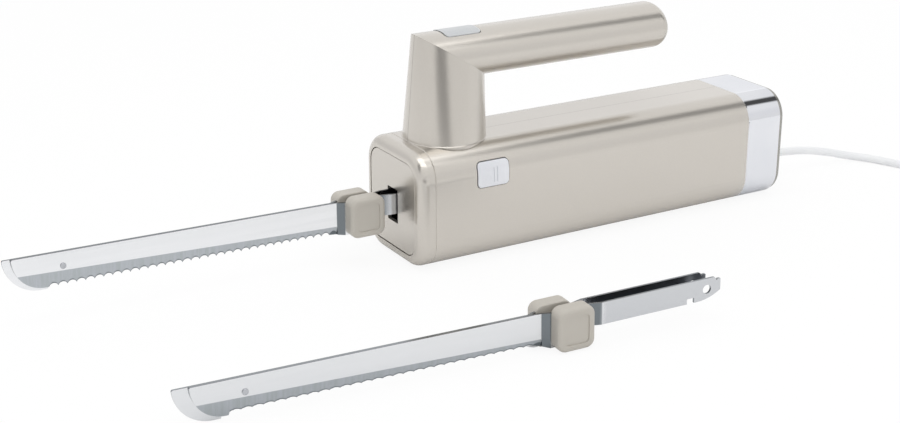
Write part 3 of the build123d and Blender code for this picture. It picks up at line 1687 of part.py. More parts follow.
def bevel_cut(start_x, lag):
    """The wedge that grinds the near blade's bevel from start_x to the jog."""
    outer = -blade_gap - blade_thickness
    run = blade_root_x - blade_tip_x
    ends = []
    for x in (start_x, jog_start_x - lag):
        share = (x - blade_tip_x) / run
        border = bevel_tip + (bevel_root - bevel_tip) * share
        low = edge_height(x) - bevel_below
        slope = bevel_depth / (border - edge_height(x))
        with BuildSketch(Plane.YZ.offset(front + x)) as end:
            with BuildLine():
                Polyline(
                    (outer - bevel_below, border),
                    (outer, border),
                    (outer + slope * (border - low), low),
                    (outer - bevel_below, low),
                    close=True,
                )
            make_face()
        ends.append(end.sketch)
    with BuildPart() as cut:
        loft(sections=ends, ruled=True)
    return cut.part


def blade_half(side, bevel_start, lag):
    """The near blade of a pair, from its side outline, bent strip and bevel."""
    heel = front - lag
    with BuildPart() as blade:
        extrude(side, amount=pad_outer)
        with BuildSketch() as strip:
            with BuildLine() as middle:
                FilletPolyline(
                    (front + guard_tip_x - overrun, -inner_line),
                    (heel + jog_start_x, -inner_line),
                    (heel + jog_end_x, -pad_offset),
                    (heel + spread_start_x, -pad_offset),
                    (heel + spread_end_x, -tang_offset),
                    (front + tang_end_x + overrun, -tang_offset),
                    radius=bend_radius,
                )
            trace(middle.line, line_width=blade_thickness)
        extrude(strip.sketch, amount=housing_height, mode=Mode.INTERSECT)
        add(bevel_cut(bevel_start, lag), mode=Mode.SUBTRACT)
    return blade.part


def cutting_blade(edge):
    """The near blade, with a round hole for the rivet."""
    side = blade_side(blade_tip_x, blade_tip_run, edge_tip, edge, 0)
    with BuildPart() as blade:
        add(blade_half(side, blade_tip_x - overrun, 0))
        with BuildSketch(Plane.XZ.offset(-housing_width / 2)) as hole:
            with Locations((front + rivet_x, rivet_z)):
                Circle(rivet_radius + touch_gap)
        extrude(hole.sketch, amount=housing_width, mode=Mode.SUBTRACT)
    return blade.part


def guard_blade(edge):
    """The far blade, with a longer blunt tip and a slot for the rivet."""
    side = blade_side(guard_tip_x, guard_tip_run, guard_edge, edge, pad_lag)
    slot_play = 4 * eccentric_throw + 2 * guide_gap
    with BuildPart() as blade:
        add(blade_half(side, guard_bevel_x, pad_lag))
        with BuildSketch(Plane.XZ.offset(-housing_width / 2)) as slot:
            with Locations((front + rivet_x, rivet_z)):
                SlotOverall(slot_play + 2 * rivet_radius, 2 * (rivet_radius + slide_gap))
        extrude(slot.sketch, amount=housing_width, mode=Mode.SUBTRACT)
    return mirror(blade.part, about=Plane.XZ, mode=Mode.PRIVATE)


def finger_pad(blade):
    """The near pad moulded round a blade, with its recessed square."""
    with BuildPart() as pad:
        with BuildSketch(Plane.XZ.offset(pad_inner)) as outline:
            with Locations((front + pad_start_x + pad_length / 2, pad_low + pad_height / 2)):
                RectangleRounded(pad_length, pad_height, pad_corner)
        extrude(outline.sketch, amount=pad_outer - pad_inner)
        fillet(pad.edges().group_by(Axis.Y)[0], radius=pad_round)
        fillet(pad.edges().group_by(Axis.Y)[-1], radius=pad_inner_round)
        with BuildSketch(Plane.XZ.offset(pad_outer)) as panel:
            with Locations((front + pad_start_x + pad_length / 2, pad_low + pad_height / 2)):
                RectangleRounded(
                    pad_length - 2 * pad_panel_margin,
                    pad_height - 2 * pad_panel_margin,
                    pad_panel_corner,
                )
        extrude(panel.sketch, amount=-pad_panel_depth, mode=Mode.SUBTRACT)
        add(blade, mode=Mode.SUBTRACT)
    return pad.part


with BuildPart() as near_blade:
    add(cutting_blade(edge_points(tooth_pitch, tooth_depth, 0)))
near_blade.part.label = "near_blade"
export_step(near_blade.part, "parts/near_blade.step")

with BuildPart() as far_blade:
    add(guard_blade(edge_points(tooth_pitch, tooth_depth, 0)))
far_blade.part.label = "far_blade"
export_step(far_blade.part, "parts/far_blade.step")

with BuildPart() as near_pad:
    add(finger_pad(near_blade.part))
near_pad.part.label = "near_pad"
export_step(near_pad.part, "parts/near_pad.step")

with BuildPart() as far_pad:
    add(mirror(near_pad.part, about=Plane.XZ, mode=Mode.PRIVATE).moved(Location((-pad_lag, 0, 0))))
far_pad.part.label = "far_pad"
export_step(far_pad.part, "parts/far_pad.step")

with BuildPart() as blade_rivet:
    outer_face = blade_gap + blade_thickness
    with BuildSketch(Plane.XZ.offset(outer_face + touch_gap)):
        with Locations((front + rivet_x, rivet_z)):
            Circle(rivet_head_radius)
    extrude(amount=rivet_head)
    fillet(blade_rivet.edges().group_by(Axis.Y)[0], radius=rivet_head / 2)
    with BuildSketch(Plane.XZ.offset(outer_face + touch_gap)):
        with Locations((front + rivet_x, rivet_z)):
            Circle(rivet_radius)
    extrude(amount=-2 * outer_face - touch_gap)
blade_rivet.part.label = "blade_rivet"
export_step(blade_rivet.part, "parts/blade_rivet.step")

# Spare blade set, the same shapes with shallow waves, standing on its pads and tip

spare_reach = pad_start_x - pad_lag + pad_corner - guard_tip_x - guard_tip_run
spare_rise = pad_low + pad_corner - guard_edge
spare_pitch = math.degrees(
    math.asin(pad_corner / math.hypot(spare_reach, spare_rise)) - math.atan2(spare_rise, spare_reach)
)
spare_pivot = Vector(front + pad_start_x - pad_lag + pad_corner, 0, pad_low + pad_corner)
spare_foot = Vector(front + spare_pad_x - pad_length / 2 + pad_corner, spare_y, pad_corner)


def laid_down(shift):
    """Where a half of the spare pair lies, moved along the pair by shift."""
    turned = Rotation(0, 0, spare_turn) * Rotation(0, -spare_pitch, 0)
    return Location(spare_foot) * turned * Location(Vector(shift, 0, 0) - spare_pivot)


with BuildPart() as spare_near_blade:
    add(cutting_blade(edge_points(wave_pitch, wave_depth, wave_rise)).moved(laid_down(spare_shift)))
spare_near_blade.part.label = "spare_near_blade"
export_step(spare_near_blade.part, "parts/spare_near_blade.step")

with BuildPart() as spare_far_blade:
    add(guard_blade(edge_points(wave_pitch, wave_depth, wave_rise)).moved(laid_down(0)))
spare_far_blade.part.label = "spare_far_blade"
export_step(spare_far_blade.part, "parts/spare_far_blade.step")

with BuildPart() as spare_near_pad:
    add(near_pad.part.moved(laid_down(spare_shift)))
spare_near_pad.part.label = "spare_near_pad"
export_step(spare_near_pad.part, "parts/spare_near_pad.step")

with BuildPart() as spare_far_pad:
    add(far_pad.part.moved(laid_down(0)))
spare_far_pad.part.label = "spare_far_pad"
export_step(spare_far_pad.part, "parts/spare_far_pad.step")

with BuildPart() as spare_rivet:
    add(blade_rivet.part.moved(laid_down(spare_shift)))
spare_rivet.part.label = "spare_rivet"
export_step(spare_rivet.part, "parts/spare_rivet.step")

# Free cord: straight runs with a rounded corner between each two

cord_low = cord_radius
cord_route = [
    (278.3, 0, 14.5),
    (284, 0, 14.5),
    (322, 0.5, 7.6),
    (337, -2, 3.2),
    (348, -11.5, cord_low),
    (355, -27, cord_low),
    (362, -46, cord_low),
    (368, -66, cord_low),
    (368, -88, cord_low),
]
bend_share = 0.45
route_points = [Vector(front + x, y, z) for x, y, z in cord_route]

with BuildPart() as cord:
    with BuildLine() as cord_path:
        run_start = route_points[0]
        bend_radii = []
        for before, corner, after in zip(route_points, route_points[1:], route_points[2:]):
            into = (corner - before).normalized()
            out = (after - corner).normalized()
            cut = bend_share * min((corner - before).length, (after - corner).length)
            half_turned = into.get_angle(out) / 2
            bend_radii.append(cut / math.tan(math.radians(half_turned)))
            Line(run_start, corner - into * cut)
            TangentArc(corner - into * cut, corner + out * cut, tangent=into)
            run_start = corner + out * cut
        Line(run_start, route_points[-1])
    with BuildSketch(Plane(cord_path.line @ 0, z_dir=cord_path.line % 0)):
        Circle(cord_radius)
    sweep(path=cord_path.line)
cord.part.label = "cord"
export_step(cord.part, "parts/cord.step")
print("cord bend radii", [round(radius) for radius in bend_radii])
cord_length = sum(edge.length for edge in cord_path.edges())
cord_volume = math.pi * cord_radius**2 * cord_length
print("cord length", round(cord_length, 1))
print("cord volume share", round(cord.part.volume / cord_volume, 4))

# Coil: half turns that wind inwards on the floor, climb, and wind outwards on top

coil_start = route_points[-1]
coil_middle = coil_start + Vector(coil_radius, -cord_diameter, 0)
coil_step = coil_pitch / 2
bottom_z = cord_low
top_z = cord_low + coil_pitch
plug_z = plug_thickness / 2
bottom_radii = [coil_radius - step * coil_step for step in range(coil_half_turns)]
inner_radius = bottom_radii[-1] - coil_step
top_count = coil_half_turns + 2
top_radii = [bottom_radii[-1] + step * coil_step for step in range(top_count)]
coil_turns = [(radius, bottom_z) for radius in bottom_radii]
coil_turns.append((inner_radius, top_z))
coil_turns += [(radius, top_z) for radius in top_radii[:-1]]
coil_turns.append((top_radii[-1], plug_z))

with BuildPart() as cord_coil:
    with BuildLine() as coil_path:
        turn_start = coil_middle - Vector(coil_radius, 0, 0)
        Line(coil_start, turn_start)
        way = 1
        for radius, end_z in coil_turns:
            turn_end = Vector(turn_start.X + way * 2 * radius, turn_start.Y, end_z)
            half_turn(turn_start, turn_end, Vector(0, -way, 0))
            turn_start = turn_end
            way = -way
        coil_end = turn_start + Vector(0, coil_tail + plug_relief_length, 0)
        Line(turn_start, coil_end)
    with BuildSketch(Plane(coil_path.line @ 0, z_dir=coil_path.line % 0)):
        Circle(cord_radius)
    sweep(path=coil_path.line)
cord_coil.part.label = "cord_coil"
export_step(cord_coil.part, "parts/cord_coil.step")

samples = 700
spots = [coil_path.line @ (step / samples) for step in range(samples + 1)]
coil_length = sum(edge.length for edge in coil_path.edges())
spacing = coil_length / samples
apart = math.ceil(4 * cord_diameter / spacing)
least_gap = min(
    (spots[second] - spots[first]).length - cord_diameter
    for first in range(samples + 1)
    for second in range(first + apart, samples + 1)
)
print("coil length", round(coil_length, 1), "least gap to itself", round(least_gap, 2))

# Plug with its two pins, at the end of the coil

plug_front = coil_end + Vector(0, plug_length, 0)
relief_foot = Plane(coil_end, x_dir=(1, 0, 0), z_dir=(0, -1, 0))
pin_foot = Plane(plug_front - Vector(0, pin_root, 0), x_dir=(1, 0, 0), z_dir=(0, 1, 0))

with BuildPart() as plug_body:
    with BuildSketch(Plane((coil_end.X, coil_end.Y, 0))) as plug_outline:
        with BuildLine():
            shoulder = plug_length * plug_shoulder_share
            Polyline(
                (-plug_neck_width / 2, 0),
                (plug_neck_width / 2, 0),
                (plug_width / 2, shoulder),
                (plug_width / 2, plug_length),
                (-plug_width / 2, plug_length),
                (-plug_width / 2, shoulder),
                close=True,
            )
        make_face()
        plug_corners = plug_outline.vertices().group_by(Axis.Y)
        fillet(plug_corners[1] + plug_corners[2], radius=plug_corner)
    extrude(amount=plug_thickness)
    fillet(plug_body.edges().group_by(Axis.Z)[0], radius=plug_edge_round)
    fillet(plug_body.edges().group_by(Axis.Z)[-1], radius=plug_edge_round)
    with BuildSketch(pin_foot):
        with GridLocations(pin_spacing, 0, 2, 1):
            Circle(pin_core_radius + touch_gap)
    extrude(amount=pin_root, mode=Mode.SUBTRACT)
    with BuildSketch(pin_foot.offset(pin_root)):
        with GridLocations(pin_spacing, 0, 2, 1):
            Circle(pin_radius)
            Circle(pin_core_radius + touch_gap, mode=Mode.SUBTRACT)
    extrude(amount=pin_sleeve_length)
    add(relief_cone(relief_foot, relief_base_radius, plug_relief_radius, plug_relief_length))
plug_body.part.label = "plug_body"
export_step(plug_body.part, "parts/plug_body.step")

with BuildPart() as plug_pins:
    with BuildSketch(pin_foot):
        with GridLocations(pin_spacing, 0, 2, 1):
            Circle(pin_core_radius)
    extrude(amount=pin_root + pin_length)
    with BuildSketch(pin_foot.offset(pin_root + pin_sleeve_length + touch_gap)):
        with GridLocations(pin_spacing, 0, 2, 1):
            Circle(pin_radius)
    extrude(amount=pin_length - pin_sleeve_length - touch_gap)
    fillet(plug_pins.edges().group_by(Axis.Y)[-1], radius=pin_radius / 2)
plug_pins.part.label = "plug_pins"
export_step(plug_pins.part, "parts/plug_pins.step")
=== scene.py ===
import bpy
import bmesh
import math
from mathutils import Matrix, Vector


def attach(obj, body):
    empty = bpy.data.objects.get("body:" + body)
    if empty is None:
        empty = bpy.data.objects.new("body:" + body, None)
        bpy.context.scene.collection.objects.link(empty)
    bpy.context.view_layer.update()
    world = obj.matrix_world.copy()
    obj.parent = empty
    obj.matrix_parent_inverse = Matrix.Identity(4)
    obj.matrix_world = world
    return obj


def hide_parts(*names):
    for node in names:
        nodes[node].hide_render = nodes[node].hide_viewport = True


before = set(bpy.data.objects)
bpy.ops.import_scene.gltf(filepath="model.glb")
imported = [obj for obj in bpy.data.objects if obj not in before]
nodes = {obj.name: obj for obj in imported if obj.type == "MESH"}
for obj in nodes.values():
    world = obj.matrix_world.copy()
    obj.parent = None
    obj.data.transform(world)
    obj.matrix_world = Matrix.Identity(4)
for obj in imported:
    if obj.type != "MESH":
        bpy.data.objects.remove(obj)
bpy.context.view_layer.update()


# Camera. It stands in front of the knife, to the left and a little above, where the
# photograph was taken from, with a long lens that keeps the housing's edges calm.
stand = Vector((-0.52496, -0.74106, 0.33823))
target = Vector((-0.08978, 0.0, 0.01985))
camera_data = bpy.data.cameras.new("camera")
camera_data.sensor_width = 36.0
camera_data.lens = 64.72
camera_data.clip_start = 0.02
camera_data.clip_end = 50.0
camera = bpy.data.objects.new("camera", camera_data)
camera.location = stand
camera.rotation_mode = "QUATERNION"
camera.rotation_quaternion = (target - stand).to_track_quat("-Z", "Y")
bpy.context.scene.collection.objects.link(camera)
bpy.context.scene.camera = camera


# Shared steps. Small functions write the shader trees, join rings of points into meshes
# and give the pieces their finish.
def linear(red, green, blue):
    """A colour as a paint chart gives it, 0 to 255, as the shaders want it."""
    scaled = [level / 255 for level in (red, green, blue)]
    return tuple(
        s / 12.92 if s <= 0.04045 else ((s + 0.055) / 1.055) ** 2.4 for s in scaled
    ) + (1.0,)


def put(tree, kind, options=None, sockets=None):
    """Adds a node to a tree, sets its options, and fills or joins its sockets."""
    made = tree.nodes.new(kind)
    for name, value in (options or {}).items():
        setattr(made, name, value)
    for name, value in (sockets or {}).items():
        if isinstance(value, bpy.types.NodeSocket):
            tree.links.new(value, made.inputs[name])
        else:
            made.inputs[name].default_value = value
    return made


def open_group(name, inputs):
    """A shader node group with named inputs and the three outputs that each finish gives."""
    group = bpy.data.node_groups.new(name, "ShaderNodeTree")
    for label, kind, value in inputs:
        socket = group.interface.new_socket(label, in_out="INPUT", socket_type=kind)
        socket.default_value = value
    for label, kind in (
        ("Color", "NodeSocketColor"),
        ("Roughness", "NodeSocketFloat"),
        ("Height", "NodeSocketFloat"),
    ):
        group.interface.new_socket(label, in_out="OUTPUT", socket_type=kind)
    given_node, out_node = group.nodes.new("NodeGroupInput"), group.nodes.new("NodeGroupOutput")
    return group, given_node.outputs, out_node.inputs


def mix_colours(tree, share, first, second, way="MIX"):
    """Two colours mixed by a share, which may each be a socket or a value."""
    made = put(tree, "ShaderNodeMix", {"data_type": "RGBA", "blend_type": way})
    for place, value in ((0, share), (6, first), (7, second)):
        if isinstance(value, bpy.types.NodeSocket):
            tree.links.new(value, made.inputs[place])
        else:
            made.inputs[place].default_value = value
    return made.outputs[2]


def spread(tree, value, low, high, from_low=0.3, from_high=0.7):
    """A value carried from one range to another, which may have sockets as its ends."""
    made = put(
        tree,
        "ShaderNodeMapRange",
        {},
        {
            "Value": value,
            "From Min": from_low,
            "From Max": from_high,
            "To Min": low,
            "To Max": high,
        },
    )
    return made.outputs["Result"]


def sum_of(tree, first, second, way="ADD"):
    """Two numbers added, or joined in another way."""
    made = put(tree, "ShaderNodeMath", {"operation": way}, {0: first, 1: second})
    return made.outputs[0]


def noise(tree, place, scale, detail, more=None):
    """A cloudy noise, 0 to 1, at a place."""
    sockets = {"Vector": place, "Scale": scale, "Detail": detail, **(more or {})}
    return put(tree, "ShaderNodeTexNoise", {}, sockets).outputs["Fac"]


def scaled(tree, place, factors):
    """A place with each of its three lengths multiplied by a factor of its own."""
    options = {"operation": "MULTIPLY"}
    return put(tree, "ShaderNodeVectorMath", options, {0: place, 1: factors}).outputs["Vector"]


# Moulded plastic has a fine spark-eroded grain, a faint cloudiness from the way the melt
# flowed, and a sheen that changes a little from place to place.
moulded, given, out = open_group(
    "moulded_grain",
    [
        ("Plastic", "NodeSocketColor", (0.8, 0.8, 0.8, 1.0)),
        ("Cloud", "NodeSocketColor", (0.7, 0.7, 0.7, 1.0)),
        ("Cloud Share", "NodeSocketFloat", 0.3),
        ("Cloud Scale", "NodeSocketFloat", 40.0),
        ("Grain Scale", "NodeSocketFloat", 1800.0),
        ("Dull", "NodeSocketFloat", 0.5),
        ("Dull Spread", "NodeSocketFloat", 0.06),
    ],
)
spot = put(moulded, "ShaderNodeTexCoord").outputs["Object"]
cloud = noise(moulded, spot, given["Cloud Scale"], 3.0)
grain = noise(moulded, spot, given["Grain Scale"], 2.0)
clouded = sum_of(moulded, spread(moulded, cloud, 0.0, 1.0), given["Cloud Share"], "MULTIPLY")
moulded.links.new(
    mix_colours(moulded, clouded, given["Plastic"], given["Cloud"]), out["Color"]
)
uneven = sum_of(moulded, spread(moulded, cloud, -1.0, 1.0), given["Dull Spread"], "MULTIPLY")
moulded.links.new(sum_of(moulded, given["Dull"], uneven), out["Roughness"])
moulded.links.new(grain, out["Height"])


def finish(name, group, settings, relief=0.0, shader=None):
    """A material whose colour, sheen and fine relief come from one of the finish groups."""
    material = bpy.data.materials.new(name)
    material.use_nodes = True
    tree = material.node_tree
    surface = tree.nodes["Principled BSDF"]
    made = put(tree, "ShaderNodeGroup", {"node_tree": group}, settings)
    tree.links.new(made.outputs["Color"], surface.inputs["Base Color"])
    tree.links.new(made.outputs["Roughness"], surface.inputs["Roughness"])
    if relief:
        height = {"Height": made.outputs["Height"], "Distance": relief, "Strength": 1.0}
        bump = put(tree, "ShaderNodeBump", {}, height)
        tree.links.new(bump.outputs["Normal"], surface.inputs["Normal"])
    for socket, value in (shader or {}).items():
        surface.inputs[socket].default_value = value
    return material


def dress(material, slot, *names):
    """Gives CAD nodes their finish. The slot that the finish stands for is not used."""
    for name in names:
        for material_slot in nodes[name].material_slots:
            material_slot.material = material


def band(build, lower, upper):
    """A closed band of faces between two rings of as many points."""
    for side in range(len(lower)):
        other = (side + 1) % len(lower)
        build.faces.new((lower[side], lower[other], upper[other], upper[side]))


def made_of(build, name, material, smooth=False):
    """The object of a finished build, with its material, in the scene."""
    bmesh.ops.recalc_face_normals(build, faces=build.faces)
    mesh = bpy.data.meshes.new(name)
    build.to_mesh(mesh)
    build.free()
    for face in mesh.polygons:
        face.use_smooth = smooth
    mesh.materials.append(material)
    made = bpy.data.objects.new(name, mesh)
    bpy.context.scene.collection.objects.link(made)
    return made


# Mains lead. A round white lead, 5 mm thick, leaves the strain relief at the back, sinks
# to the table in a slow bend and is put away in a neat coil of two layers beside the
# knife. It is soft PVC, drawn in one length, so it is one smooth spline from end to end.
white_pvc = finish(
    "white_pvc",
    moulded,
    {
        "Plastic": linear(238, 239, 240),
        "Cloud": linear(229, 230, 233),
        "Cloud Share": 0.5,
        "Cloud Scale": 60.0,
        "Grain Scale": 900.0,
        "Dull": 0.42,
        "Dull Spread": 0.05,
    },
    relief=0.00002,
    shader={"Specular IOR Level": 0.45, "Subsurface Weight": 0.0},
)

lead_thickness = 0.005
lead_radius = lead_thickness / 2
lead_exit = (0.15165, 0.0, 0.0145)
coil_x, coil_y = 0.24135, -0.093
second_layer, plug_level = 0.008, 0.00685
lead_route = [
    lead_exit,
    (0.15735, 0.0, 0.0145),
    (0.17650, 0.0001, 0.0122),
    (0.19535, 0.0005, 0.0078),
    (0.21035, -0.002, 0.0036),
    (0.22135, -0.0115, lead_radius),
    (0.22835, -0.027, lead_radius),
    (0.23535, -0.046, lead_radius),
    (coil_x, -0.066, lead_radius),
    (coil_x, -0.088, lead_radius),
]
turn_radii = [0.034, 0.03125, 0.0285, 0.02575, 0.023, 0.02025, 0.0175]
turn_radii += [0.02025, 0.023, 0.02575, 0.0285, 0.03125, 0.034, 0.03675, 0.0395]
turn_ends = [lead_radius] * 6 + [second_layer] * 8 + [plug_level]
points_per_half = 8
half_step = math.pi / points_per_half
coil_points = [(coil_x, -0.0915, lead_radius)]
start_x, start_z, way = coil_x, lead_radius, 1
for radius, end_z in zip(turn_radii, turn_ends):
    centre_x = start_x + way * radius
    outside = radius / math.cos(half_step / 2)
    for step in range(points_per_half):
        angle = (step + 0.5) * half_step
        coil_points.append((
            centre_x - way * outside * math.cos(angle),
            coil_y - way * outside * math.sin(angle),
            start_z + (end_z - start_z) * (step + 0.5) / points_per_half,
        ))
    start_x, start_z, way = start_x + way * 2 * radius, end_z, -way
coil_points += [(start_x, coil_y + 0.0015, start_z), (start_x, coil_y + 0.012, start_z)]
plug_relief_foot = (start_x, -0.063, start_z)
coil_points.append(plug_relief_foot)

lead_curve = bpy.data.curves.new("mains_lead", "CURVE")
lead_curve.dimensions = "3D"
lead_curve.bevel_depth = lead_radius
lead_curve.bevel_resolution = 5
lead_curve.resolution_u = 6
lead_curve.use_fill_caps = True
spline = lead_curve.splines.new("NURBS")
spline.points.add(len(lead_route) + len(coil_points) - 1)
for point, place in zip(spline.points, lead_route + coil_points):
    point.co = (*place, 1.0)
spline.order_u = 3
spline.use_endpoint_u = True
lead_curve.materials.append(white_pvc)
mains_lead = bpy.data.objects.new("mains_lead", lead_curve)
bpy.context.scene.collection.objects.link(mains_lead)
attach(mains_lead, "housing")
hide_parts("cord", "cord_coil")
dress(white_pvc, "cord_rubber", "strain_relief", "cord_tail")


# Plug. A flat two-pin plug moulded on to the lead's end in one shot, with its own ribbed
# relief, and two nickel-plated pins that are pressed in before the moulding.
white_moulding = finish(
    "white_moulding",
    moulded,
    {
        "Plastic": linear(236, 237, 238),
        "Cloud": linear(226, 227, 230),
        "Cloud Share": 0.4,
        "Cloud Scale": 45.0,
        "Grain Scale": 1400.0,
        "Dull": 0.46,
        "Dull Spread": 0.05,
    },
    relief=0.00003,
)
dress(white_moulding, "plug_plastic", "plug_body")


# Rolled, drawn or ground metal: fine streaks along the way it was worked, a few of them
# darker, and a sheen that follows them.
worked, given, out = open_group(
    "worked_metal",
    [
        ("Metal", "NodeSocketColor", (0.8, 0.8, 0.8, 1.0)),
        ("Streak", "NodeSocketColor", (0.6, 0.6, 0.6, 1.0)),
        ("Streak Share", "NodeSocketFloat", 0.3),
        ("Streak Spacing", "NodeSocketVector", (20.0, 900.0, 900.0)),
        ("Bloom", "NodeSocketFloat", 25.0),
        ("Dull", "NodeSocketFloat", 0.25),
        ("Dull Spread", "NodeSocketFloat", 0.08),
    ],
)
spot = put(worked, "ShaderNodeTexCoord").outputs["Object"]
stretched = scaled(worked, spot, given["Streak Spacing"])
streaks = noise(worked, stretched, 1.0, 4.0, {"Roughness": 0.6})
bloom = noise(worked, spot, given["Bloom"], 2.0)
streaked = sum_of(worked, spread(worked, streaks, 0.0, 1.0), given["Streak Share"], "MULTIPLY")
worked.links.new(
    mix_colours(worked, streaked, given["Metal"], given["Streak"]), out["Color"]
)
both = sum_of(worked, spread(worked, streaks, -1.0, 1.0), spread(worked, bloom, -0.6, 0.6))
uneven = sum_of(worked, both, given["Dull Spread"], "MULTIPLY")
worked.links.new(sum_of(worked, given["Dull"], uneven), out["Roughness"])
worked.links.new(streaks, out["Height"])

nickel_pin = finish(
    "nickel_pin",
    worked,
    {
        "Metal": linear(222, 220, 214),
        "Streak": linear(190, 187, 180),
        "Streak Share": 0.3,
        "Streak Spacing": (900.0, 40.0, 900.0),
        "Bloom": 60.0,
        "Dull": 0.2,
        "Dull Spread": 0.06,
    },
    relief=0.00001,
    shader={"Metallic": 1.0},
)
dress(nickel_pin, "pin_metal", "plug_pins")


# Cord tie. A paper-covered wire tie is folded round the coil once, as a new appliance's
# lead has it, and its ends are twisted together on the outside.
tie_wire, tie_width = 0.0006, 0.0036
tie_x, tie_low, tie_high = 0.27535, 0.0004, 0.0142
tie_inner, tie_outer, tie_corner = 0.0148, 0.0426, 0.0030
tie_centre_y = coil_y
arc_steps, arc_step = 7, 15.0
tie_path = []
corners = [
    (tie_outer, tie_low, -90.0),
    (tie_outer, tie_high, 0.0),
    (tie_inner, tie_high, 90.0),
    (tie_inner, tie_low, 180.0),
]
for reach_out, level, first_turn in corners:
    side = 1 if reach_out == tie_outer else -1
    lift = 1 if level == tie_high else -1
    hub_reach, hub_level = reach_out - side * tie_corner, level - lift * tie_corner
    for step in range(arc_steps):
        turned = math.radians(first_turn + arc_step * step)
        tie_path.append((
            hub_reach + tie_corner * math.cos(turned), hub_level + tie_corner * math.sin(turned)
        ))
tie_build = bmesh.new()
tie_rings = []
for place, (reach_out, level) in enumerate(tie_path):
    before, after = tie_path[place - 1], tie_path[(place + 1) % len(tie_path)]
    along = Vector((after[0] - before[0], after[1] - before[1])).normalized()
    outward = Vector((along.y, -along.x)) * (tie_wire / 2)
    ring = []
    for side_x, side_out in ((-1, -1), (1, -1), (1, 1), (-1, 1)):
        ring.append(tie_build.verts.new((
            tie_x + side_x * tie_width / 2,
            tie_centre_y - (reach_out + side_out * outward.x),
            level + side_out * outward.y,
        )))
    tie_rings.append(ring)
for lower, upper in zip(tie_rings, tie_rings[1:] + tie_rings[:1]):
    band(tie_build, lower, upper)
twist_length, twist_turns, twist_steps = 0.016, 2.5, 40
twist_reach, twist_level = 0.0009, 0.0085
twist_start = Vector((tie_x, tie_centre_y - tie_outer - tie_wire / 2, twist_level))
for strand in (0.0, math.pi):
    twist_rings = []
    for step in range(twist_steps + 1):
        share = step / twist_steps
        angle = strand + share * twist_turns * 2 * math.pi
        middle = twist_start + Vector((
            twist_reach * math.cos(angle), -share * twist_length, twist_reach * math.sin(angle)
        ))
        across = Vector((-math.sin(angle), 0.0, math.cos(angle))) * (tie_width / 2)
        thick = Vector((math.cos(angle), 0.0, math.sin(angle))) * (tie_wire / 2)
        twist_rings.append([
            tie_build.verts.new(middle + across * a + thick * b)
            for a, b in ((-1, -1), (1, -1), (1, 1), (-1, 1))
        ])
    for lower, upper in zip(twist_rings, twist_rings[1:]):
        band(tie_build, lower, upper)
    tie_build.faces.new(twist_rings[0])
    tie_build.faces.new(reversed(twist_rings[-1]))
cord_tie = made_of(tie_build, "cord_tie", white_moulding)
tie_edges = cord_tie.modifiers.new("folded_edges", "BEVEL")
tie_edges.width, tie_edges.segments, tie_edges.limit_method = 0.00012, 1, "ANGLE"
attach(cord_tie, "housing")


# Housing. Two moulded shells with a front frame and a front panel, all sprayed with the
# same champagne metallic and left satin: fine flakes in a warm grey ground under a thin
# clear coat that has a trace of orange peel.
sprayed, given, out = open_group(
    "sprayed_flake",
    [
        ("Paint", "NodeSocketColor", (0.6, 0.56, 0.52, 1.0)),
        ("Flake", "NodeSocketColor", (0.75, 0.7, 0.65, 1.0)),
        ("Flake Share", "NodeSocketFloat", 0.3),
        ("Flake Scale", "NodeSocketFloat", 4500.0),
        ("Drift", "NodeSocketColor", (0.58, 0.55, 0.5, 1.0)),
        ("Drift Scale", "NodeSocketFloat", 9.0),
        ("Dull", "NodeSocketFloat", 0.34),
        ("Dull Spread", "NodeSocketFloat", 0.03),
        ("Peel Scale", "NodeSocketFloat", 700.0),
        ("Parting", "NodeSocketColor", (0.3, 0.28, 0.26, 1.0)),
        ("Parting Width", "NodeSocketFloat", 0.0),
    ],
)
spot = put(sprayed, "ShaderNodeTexCoord").outputs["Object"]
flakes = put(sprayed, "ShaderNodeTexVoronoi", {}, {"Vector": spot, "Scale": given["Flake Scale"]})
flake_tone = put(sprayed, "ShaderNodeSeparateColor", {}, {"Color": flakes.outputs["Color"]})
bright = flake_tone.outputs["Red"]
drift = noise(sprayed, spot, given["Drift Scale"], 2.0)
peel = noise(sprayed, spot, given["Peel Scale"], 1.0)
ground = mix_colours(
    sprayed, spread(sprayed, drift, 0.0, 1.0), given["Paint"], given["Drift"]
)
flaked = sum_of(
    sprayed, spread(sprayed, bright, 0.0, 1.0, 0.4, 1.0), given["Flake Share"], "MULTIPLY"
)
flaked_ground = mix_colours(sprayed, flaked, ground, given["Flake"])
place = put(sprayed, "ShaderNodeSeparateXYZ", {}, {"Vector": spot})
twice_off_middle = sum_of(sprayed, place.outputs["Y"], 2.0, "MULTIPLY")
on_line = sum_of(
    sprayed, sum_of(sprayed, twice_off_middle, 0.0, "ABSOLUTE"), given["Parting Width"], "LESS_THAN"
)
sprayed.links.new(
    mix_colours(sprayed, on_line, flaked_ground, given["Parting"]), out["Color"]
)
uneven = sum_of(sprayed, spread(sprayed, drift, -1.0, 1.0), given["Dull Spread"], "MULTIPLY")
sprayed.links.new(sum_of(sprayed, given["Dull"], uneven), out["Roughness"])
sprayed.links.new(peel, out["Height"])

champagne_settings = {
    "Paint": linear(204, 199, 191),
    "Flake": linear(222, 217, 210),
    "Flake Share": 0.25,
    "Flake Scale": 4500.0,
    "Drift": linear(201, 196, 188),
    "Drift Scale": 9.0,
    "Dull": 0.235,
    "Dull Spread": 0.015,
    "Peel Scale": 700.0,
}
champagne_shader = {
    "Metallic": 0.75,
    "Specular IOR Level": 0.4,
    "Coat Weight": 0.5,
    "Coat Roughness": 0.34,
}
orange_peel = 0.000004
champagne = finish("champagne_paint", sprayed, champagne_settings, orange_peel, champagne_shader)
dress(champagne, "shell_paint", "front_frame", "front_panel", "grip_cover")
